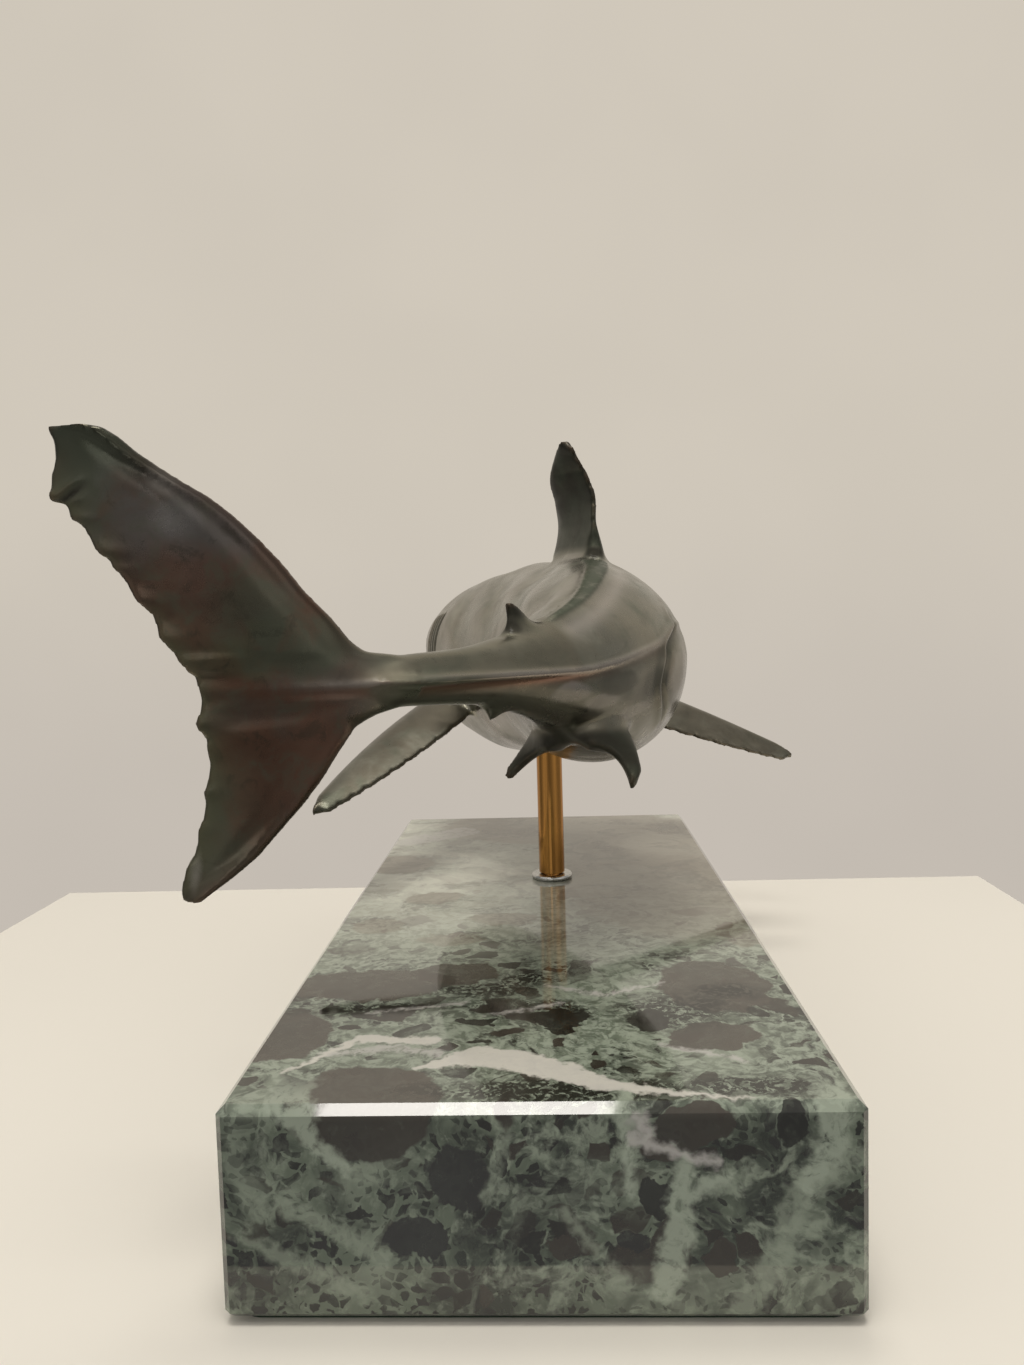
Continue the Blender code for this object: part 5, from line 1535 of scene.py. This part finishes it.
def marbleMaterial():
    made, tree, shader = newMaterial("greenMarbleAndPaintedLight")
    coords = objectCoords(tree)
    noises = {name: colourNoise(tree, coords, *marbleAndPaintedLight["noises"][name]) for name in ("slow", "quick")}

    def moved(base, kind, centred=True):
        return wandering(tree, base, *((noises[name], share) for name, share in marbleAndPaintedLight["wander"][kind]),
                         centred=centred)

    # the bent coordinates are left shifted by their noises, which is where the stones were set
    bent = moved(coords, "bent", False)
    lean = moved(coords, "lean")
    noises["feather"] = colourNoise(tree, coords, *marbleAndPaintedLight["noises"]["feather"])
    frayed = moved(lean, "frayed")
    chipped = moved(coords, "chipped")
    kinds = {"bent": bent, "lean": lean, "chipped": chipped}

    def patternOf(name):
        kind, *form = marbleAndPaintedLight["patterns"][name]
        return noiseOf(tree, kinds[kind], *form)

    def cover(pattern, name):
        return span(tree, patterns[pattern], *marbleAndPaintedLight[name])

    patterns = {name: patternOf(name) for name in ("broad", "middle", "fine", "thread")}
    places = add(tree, "SeparateXYZ", None, {"Vector": coords})
    farther = span(tree, places.outputs[1], *marbleAndPaintedLight["far"])
    topOnly = span(tree, places.outputs[2], *marbleAndPaintedLight["top"])
    patterns["clouds"] = patternOf("clouds")

    # the cloudy matrix, with its threads
    tone = blendOf(tree, cover("middle", "matrix"), marbleAndPaintedLight["deep"], marbleAndPaintedLight["green"])
    tone = overLayers(tree, tone, patterns, marbleAndPaintedLight["ground"], marbleAndPaintedLight)
    tone = blendOf(tree, times(tree, topOnly, cover("fine", "topPale")), tone, marbleAndPaintedLight["band"])
    threads = bumpShape(tree, patterns["thread"], 0.5, marbleAndPaintedLight["threadHalf"])
    threads = times(tree, threads, cover("broad", "threadBroad"))
    threads = times(tree, threads, cover("fine", "threadFine"))

    # the crushed stones, from the smallest to the largest
    for name, first, second in marbleAndPaintedLight["stones"]:
        mask, pick = stoneLayer(tree, bent, marbleAndPaintedLight[name])
        stone = blendOf(tree, pick, marbleAndPaintedLight[first], marbleAndPaintedLight[second])
        stone = blendOf(tree, cover("fine", "stoneFlecks"), stone, marbleAndPaintedLight["green"])
        hold = cover("clouds", "stoneHold")
        if name in ("tiny", "small"):
            bare = times(tree, topOnly, cover("middle", "bareTop"))
            hold = times(tree, hold, less(tree, 1.0, bare))
        tone = blendOf(tree, times(tree, mask, hold), tone, stone)
        if name == "small":
            tone = blendOf(tree, threads, tone, marbleAndPaintedLight["pale"])

    # the calm far part of the top: its real brown areas and green, made paler towards the far side by a
    # painted sheen
    soft = marbleAndPaintedLight["brownSoft"]
    brown = most(tree, (nearPlace(tree, chipped, *area, soft) for area in marbleAndPaintedLight["brownAreas"]))
    calm = blendOf(tree, cover("clouds", "farClouds"), marbleAndPaintedLight["farSheenGreen"], marbleAndPaintedLight["farBrown"])
    calm = blendOf(tree, times(tree, brown, cover("clouds", "brownCover")), calm, marbleAndPaintedLight["farBrown"])
    calm = blendOf(tree, cover("middle", "farStones"), calm, marbleAndPaintedLight["brownClast"])
    far = times(tree, farther, cover("broad", "farCover"))
    near, more = marbleAndPaintedLight["brownShares"]
    far = most(tree, (far, times(tree, brown, plus(tree, near, times(tree, farther, more)))))
    tone = blendOf(tree, times(tree, far, topOnly), tone, calm)

    # the stones that show at the front, each with a paler rim
    rims = None
    for centre, size, finish in marbleAndPaintedLight["placed"]:
        reach = reachFrom(tree, chipped, centre, size)
        colour = marbleAndPaintedLight[finish]
        if finish == "brownClast":
            # on the top the brown stones take a paler copy of their colour, a painted sheen
            colour = blendOf(tree, topOnly, colour, marbleAndPaintedLight["topLitBrown"])
        stone = blendOf(tree, cover("middle", "placedGrey"), colour, marbleAndPaintedLight["greyClast"])
        stone = blendOf(tree, cover("fine", "placedFlecks"), stone, marbleAndPaintedLight["green"])
        edge = span(tree, reach, *marbleAndPaintedLight["placedEdge"])
        edge = times(tree, edge, less(tree, 1.0, times(tree, farther, marbleAndPaintedLight["placedFade"])))
        tone = blendOf(tree, edge, tone, stone)
        rim = bumpShape(tree, reach, *marbleAndPaintedLight["placedRim"])
        rims = rim if rims is None else most(tree, (rims, rim))
    tone = blendOf(tree, times(tree, rims, cover("fine", "rimFlecks")), tone, marbleAndPaintedLight["pale"])

    # a painted shadow on the top near the cream vein, and a few rusty flecks
    soft = marbleAndPaintedLight["shadowSoft"]
    dark = most(tree, (nearPlace(tree, chipped, *area, soft) for area in marbleAndPaintedLight["shadowAreas"]))
    patterns["crumbs"] = patternOf("crumbs")
    dark = times(tree, times(tree, dark, topOnly), cover("crumbs", "shadowBreakup"))
    tone = blendOf(tree, dark, tone, marbleAndPaintedLight["darkClast"])
    rust = times(tree, cover("fine", "rustFine"), cover("middle", "rustMiddle"))
    tone = blendOf(tree, rust, tone, marbleAndPaintedLight["rust"])

    # the veins: at the front, on the top, the cream one and the one over the front edge
    nearFront = span(tree, places.outputs[1], *marbleAndPaintedLight["nearFront"])
    for name, finish in (("faint", "pale"), ("bands", "band")):
        vein = veinMask(tree, frayed, marbleAndPaintedLight[name], (0, 2), marbleAndPaintedLight["bandSoft"])
        vein = times(tree, vein, cover("fine", name + "Broken"))
        tone = blendOf(tree, times(tree, vein, nearFront), tone, marbleAndPaintedLight[finish])
    vein = times(tree, veinMask(tree, frayed, marbleAndPaintedLight["topVeins"], (0, 1), marbleAndPaintedLight["topSoft"]), topOnly)
    tone = blendOf(tree, times(tree, vein, cover("fine", "topBroken")), tone, marbleAndPaintedLight["streak"])
    vein = times(tree, veinMask(tree, frayed, marbleAndPaintedLight["cream"], (0, 1), marbleAndPaintedLight["creamSoft"]), topOnly)
    vein = times(tree, vein, cover("fine", "creamBroken"))
    tone = blendOf(tree, vein, tone, blendOf(tree, patterns["fine"], marbleAndPaintedLight["white"], marbleAndPaintedLight["streak"]))
    vein = times(tree, veinMask(tree, frayed, marbleAndPaintedLight["front"], (0, 2), marbleAndPaintedLight["frontSoft"]), nearFront)
    tone = blendOf(tree, times(tree, vein, marbleAndPaintedLight["frontShare"]), tone, marbleAndPaintedLight["streak"])
    # a painted sheen over the whole top
    tone = blendOf(tree, times(tree, topOnly, marbleAndPaintedLight["topSheenShare"]), tone, marbleAndPaintedLight["topSheen"])

    wire(tree, tone, shader.inputs["Base Color"])
    wire(tree, cover("fine", "rough"), shader.inputs["Roughness"])
    shader.inputs["IOR"].default_value = marbleAndPaintedLight["ior"]
    wire(tree, bumpOf(tree, patterns["middle"], *marbleAndPaintedLight["bump"]), shader.inputs["Normal"])
    return made


# Turned pieces

def turned(name, profile, place, sides=96, crisp=28):
    # a closed outline of (radius, height) turned round an upright axis, with edges over crisp degrees kept
    onAxis = 1e-7
    vertices = []
    faces = []
    rings = []
    for radius, height in profile:
        if radius < onAxis:
            rings.append([len(vertices)])
            vertices.append((place[0], place[1], height))
            continue
        rings.append(list(range(len(vertices), len(vertices) + sides)))
        for k in range(sides):
            turn = 2 * math.pi * k / sides
            vertices.append((place[0] + radius * math.cos(turn), place[1] + radius * math.sin(turn), height))
    closed = profile[0][0] > onAxis
    for i in range(len(rings) - (0 if closed else 1)):
        a, b = rings[i], rings[(i + 1) % len(rings)]
        for k in range(sides):
            j = (k + 1) % sides
            if len(a) == 1:
                faces.append((a[0], b[j], b[k]))
            elif len(b) == 1:
                faces.append((a[k], a[j], b[0]))
            else:
                faces.append((a[k], a[j], b[j], b[k]))
    thing = newThing(name, vertices, faces)
    outwards(thing)
    thing.data.shade_smooth()
    crease = thing.modifiers.new("crispEdges", "EDGE_SPLIT")
    crease.split_angle = math.radians(crisp)
    return settled(thing)


def axisOf(node):
    low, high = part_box(node)
    return (low[0] + high[0]) / 2, (low[1] + high[1]) / 2


rodForm = {"radius": 0.005, "studRadius": 0.00395, "threadDepth": 0.00055, "pitch": 0.00125,
           "chamfer": 0.00035, "seatGap": 0.0003, "topGap": 0.0004}


def threaded(bottom, top):
    # crests and roots of the thread from bottom to top
    outer = rodForm["studRadius"]
    inner = outer - rodForm["threadDepth"]
    pitch = rodForm["pitch"]
    points = []
    for k in range(int((top - bottom) / pitch)):
        base = bottom + (k + 0.15) * pitch
        points += [(inner, base), (outer, base + 0.45 * pitch), (outer, base + 0.55 * pitch)]
    return points + [(inner, top)]


def supportRod():
    low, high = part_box("support_rod")
    gap = rodForm["seatGap"]
    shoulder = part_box("foot_washer")[1][2] + gap
    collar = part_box("mounting_boss")[0][2] - gap
    radius, chamfer = rodForm["radius"], rodForm["chamfer"]
    profile = [(0, low[2])] + threaded(low[2], shoulder)
    profile += [(radius - chamfer, shoulder), (radius, shoulder + chamfer)]
    profile += [(radius, collar - chamfer), (radius - chamfer, collar)]
    profile += threaded(collar, high[2] - rodForm["topGap"]) + [(0, high[2])]
    return turned("turned_rod", profile, axisOf("support_rod"))


washerForm = {"bore": 0.0043, "rounding": 0.0004, "edgeTurns": (-67.5, 33.75, 5), "edgeInset": 0.0001}


def footWasher():
    low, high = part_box("foot_washer")
    bottom, top = low[2], high[2]
    outer, inner, rounding = (high[0] - low[0]) / 2, washerForm["bore"], washerForm["rounding"]
    profile = [(inner, bottom + rounding), (inner + rounding, bottom), (outer - rounding, bottom)]
    first, step, count = washerForm["edgeTurns"]
    for k in range(count):
        turn = math.radians(first + step * k)
        profile.append((outer - rounding + rounding * math.cos(turn),
                        (bottom + top) / 2 + ((top - bottom) / 2 - washerForm["edgeInset"]) * math.sin(turn)))
    profile += [(outer - rounding, top), (inner + rounding, top), (inner, top - rounding)]
    return turned("foot_washer_ring", profile, axisOf("foot_washer"))


def castEye(name, flank):
    # a dome with a drilled pupil, facing straight out from the head
    centre = Vector(eyeCentres()[0 if flank > 0 else 1])
    outward = centre - Vector(axisPoint(np.array(eye["station"])))
    radius = eye["radius"]
    first, step, count = eye["domeTurns"]
    turns = [math.radians(first + step * k) for k in range(count)]
    profile = list(eye["pupil"]) + [(radius * math.cos(turn), radius * math.sin(turn)) for turn in turns]
    thing = turned(name, profile + [(0, -radius)], (0, 0), eye["sides"])
    turn = Vector((0, 0, 1)).rotation_difference(outward.normalized()).to_matrix().to_4x4()
    thing.data.transform(Matrix.Translation(centre) @ turn)
    return thing


# Pieces that take the CAD's shape keep it and get their finish

def dress(names, material):
    for name in names:
        thing = frame["nodes"][name]
        thing.data.materials.clear()
        thing.data.materials.append(material)


def finished(thing, material, slot, *nodes):
    thing.data.materials.clear()
    thing.data.materials.append(material)
    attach(thing, "root")
    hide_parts(*nodes)


bronze = bronzeMaterial()
brass = metalMaterial("polishedBrass")
steel = metalMaterial("brightSteel")

finished(supportRod(), brass, "polished_brass", "support_rod")
finished(footWasher(), steel, "bright_steel", "foot_washer")
finished(castEye("right_cast_eye", 1), bronze, "polished_bronze", "right_eye")
finished(castEye("left_cast_eye", -1), bronze, "polished_bronze", "left_eye")
dress(["mounting_boss"], brass)
dress(["clamp_washer", "clamp_nut"], steel)
dress(["base_felt"], feltMaterial())
dress(["marble_base"], marbleMaterial())
finished(skin, bronze, "bronze_patina", "body_casting", "dorsal_fin", "second_dorsal_fin", "anal_fin",
         "left_pectoral_fin", "right_pectoral_fin", "left_pelvic_fin", "right_pelvic_fin", "caudal_fin")
print("finishes on")


# Studio

studio = {
    "plinth": (0.86, 0.82, 0.74), "wall": (0.635, 0.580, 0.497), "wallShadedLow": (0.560, 0.510, 0.452),
    "plinthTop": ((-0.2799, -0.168), (0.2401, -0.168), (0.2413, 0.1991), (-0.2755, 0.1967)),
    "plinthDepth": 0.9, "wallY": 1.7, "wallHalf": 4, "wallHeights": (-2, 3),
    # heights over which the paint goes from its low tone, a painted shade on the backdrop, to its full one,
    # and the stains in it
    "shadeHeights": (-0.35, 0.55), "stain": (0.30, 0.28, 0.25), "stainPattern": (2.2, 2.0),
    "stainShare": 0.05, "plinthRough": 0.5, "wallRough": 0.9,
    # place, aim, size, power and colour of each lamp
    "lamps": {
        "overhead": ((0.02, 0.25, 2.05), (0.0, 0.03, 0.1), (0.42, 0.42), 7.0, (1.0, 0.95, 0.88)),
        "ceiling": ((0.00, -0.46, 2.10), (0.0, -0.05, 0.1), (0.90, 0.50), 15.5, (1.0, 0.96, 0.90)),
        "front": ((-0.17, -0.96, 1.60), (0.0, -0.15, 0.05), (0.54, 0.14), 2.9, (1.0, 0.96, 0.90)),
        "behindCamera": ((-0.24, -1.75, 0.40), (0.0, 0.0, 0.14), (0.60, 0.50), 1.1, (1.0, 0.97, 0.94)),
    },
}

# The room that the metal mirrors: each row is where a pattern starts and is full, and the levels there
room = {
    "colour": (1.0, 0.975, 0.93), "strength": 0.45, "height": (-0.4, 0.9, 0.85, 1.20),
    "uprights": (0.0, 0.25, 0.62, 1.40), "uprightHeights": (0.70, 0.25),
    "parts": (1.7, 1.5, 0.5), "partLevels": (0.34, 0.66, 0.74, 1.26),
}


def mixShaders(tree, factor, first, second):
    mix = add(tree, "MixShader", None, {"Fac": factor})
    tree.links.new(first.outputs[0], mix.inputs[1])
    tree.links.new(second.outputs[0], mix.inputs[2])
    return mix.outputs[0]


def stagePiece(name, vertices, faces, colour, low, roughness, glowsWhenSeen=False):
    thing = newThing(name, vertices, faces)
    made, tree, shader = newMaterial(name + "Paint")
    coords = objectCoords(tree)
    height = add(tree, "SeparateXYZ", None, {"Vector": coords}).outputs[2]
    tone = blendOf(tree, span(tree, height, *studio["shadeHeights"]), low, colour)
    soft = noiseOf(tree, coords, *studio["stainPattern"])
    tone = blendOf(tree, span(tree, soft, 0.3, 0.7, 0.0, studio["stainShare"]), tone, studio["stain"])
    wire(tree, tone, shader.inputs["Base Color"])
    shader.inputs["Roughness"].default_value = roughness
    if glowsWhenSeen:
        # the backdrop glows, a painted light: seen and mirrored at its own plain colour, and lit as a painted
        # wall for everything else
        rays = tree.nodes.new("ShaderNodeLightPath")
        seen = most(tree, (rays.outputs["Is Camera Ray"], rays.outputs["Is Glossy Ray"]))
        out = next(node for node in tree.nodes if node.type == "OUTPUT_MATERIAL")
        plain = add(tree, "Emission", None, {"Color": tone})
        tree.links.new(mixShaders(tree, seen, shader, plain), out.inputs["Surface"])
    thing.data.materials.append(made)
    return thing


def areaLamp(name, place, aim, size, power, colour):
    lamp = bpy.data.lights.new(name, "AREA")
    lamp.shape = "RECTANGLE"
    lamp.size, lamp.size_y = size
    lamp.energy = power
    lamp.color = colour
    thing = bpy.data.objects.new(name, lamp)
    thing.location = place
    thing.rotation_euler = (Vector(aim) - Vector(place)).to_track_quat("-Z", "Y").to_euler()
    bpy.context.scene.collection.objects.link(thing)
    return thing


def buildRoom():
    world = bpy.data.worlds.new("room")
    bpy.context.scene.world = world
    world.use_nodes = True
    tree = world.node_tree
    ground = tree.nodes["Background"]
    ground.inputs["Color"].default_value = (*room["colour"], 1)
    # a little brighter overhead
    direction = add(tree, "TexCoord").outputs["Generated"]
    x, y, z = add(tree, "SeparateXYZ", None, {"Vector": direction}).outputs
    level = span(tree, z, *room["height"])
    # lighter and darker uprights low in the room, told by the turn from straight behind the viewer
    across = times(tree, y, y)
    around = plus(tree, across, times(tree, x, x))
    turn = calc(tree, "DIVIDE", across, plus(tree, around, 0.0001))
    uprights = span(tree, times(tree, turn, less(tree, 1.0, turn)), *room["uprights"], False)
    low = span(tree, calc(tree, "ABSOLUTE", z), *room["uprightHeights"])
    level = times(tree, level, plus(tree, 1.0, times(tree, low, less(tree, uprights, 1.0))))
    # and soft patches all round
    parts = noiseOf(tree, direction, *room["parts"])
    level = times(tree, level, span(tree, parts, *room["partLevels"]))
    wire(tree, times(tree, level, room["strength"]), ground.inputs["Strength"])
    # the camera sees a plain wall colour all round
    plain = add(tree, "Background", None, {"Color": (*studio["wall"], 1), "Strength": 1.0})
    rays = tree.nodes.new("ShaderNodeLightPath")
    tree.links.new(mixShaders(tree, rays.outputs["Is Camera Ray"], ground, plain),
                   tree.nodes["World Output"].inputs["Surface"])


def buildStudio():
    depth = studio["plinthDepth"]
    vertices = [(x, y, height) for height in (0, -depth) for x, y in studio["plinthTop"]]
    faces = [(0, 1, 2, 3), (0, 4, 5, 1), (1, 5, 6, 2), (2, 6, 7, 3), (3, 7, 4, 0), (7, 6, 5, 4)]
    stagePiece("plinth", vertices, faces, studio["plinth"], studio["plinth"], studio["plinthRough"])
    y, half = studio["wallY"], studio["wallHalf"]
    low, high = studio["wallHeights"]
    stagePiece("wall", [(-half, y, low), (half, y, low), (half, y, high), (-half, y, high)], [(0, 1, 2, 3)],
               studio["wall"], studio["wallShadedLow"], studio["wallRough"], True)
    buildRoom()
    for name, lamp in studio["lamps"].items():
        areaLamp(name, *lamp)


# The photograph's view: its frame is 1365 points high, and its lens 980 of them from it
view = {
    "sensor": 36, "clip": 0.01, "frameHeight": 1365,
    "lensPoints": 980, "place": (0.005148, -0.34956, 0.15452),
    "right": (0.99890, 0.03742, -0.02834), "up": (0.02558, 0.07240, 0.99704),
    "forward": (-0.03936, 0.99667, -0.07136),
}


def buildCamera():
    lens = bpy.data.cameras.new("photoView")
    lens.lens = view["sensor"] * view["lensPoints"] / view["frameHeight"]
    lens.sensor_width = view["sensor"]
    lens.clip_start = view["clip"]
    thing = bpy.data.objects.new("photoView", lens)
    turn = Matrix((view["right"], view["up"], tuple(-c for c in view["forward"]))).transposed()
    thing.matrix_world = Matrix.Translation(view["place"]) @ turn.to_4x4()
    bpy.context.scene.collection.objects.link(thing)
    bpy.context.scene.camera = thing


buildStudio()
buildCamera()
bpy.context.scene.view_settings.view_transform = "Standard"
print("studio and camera set")
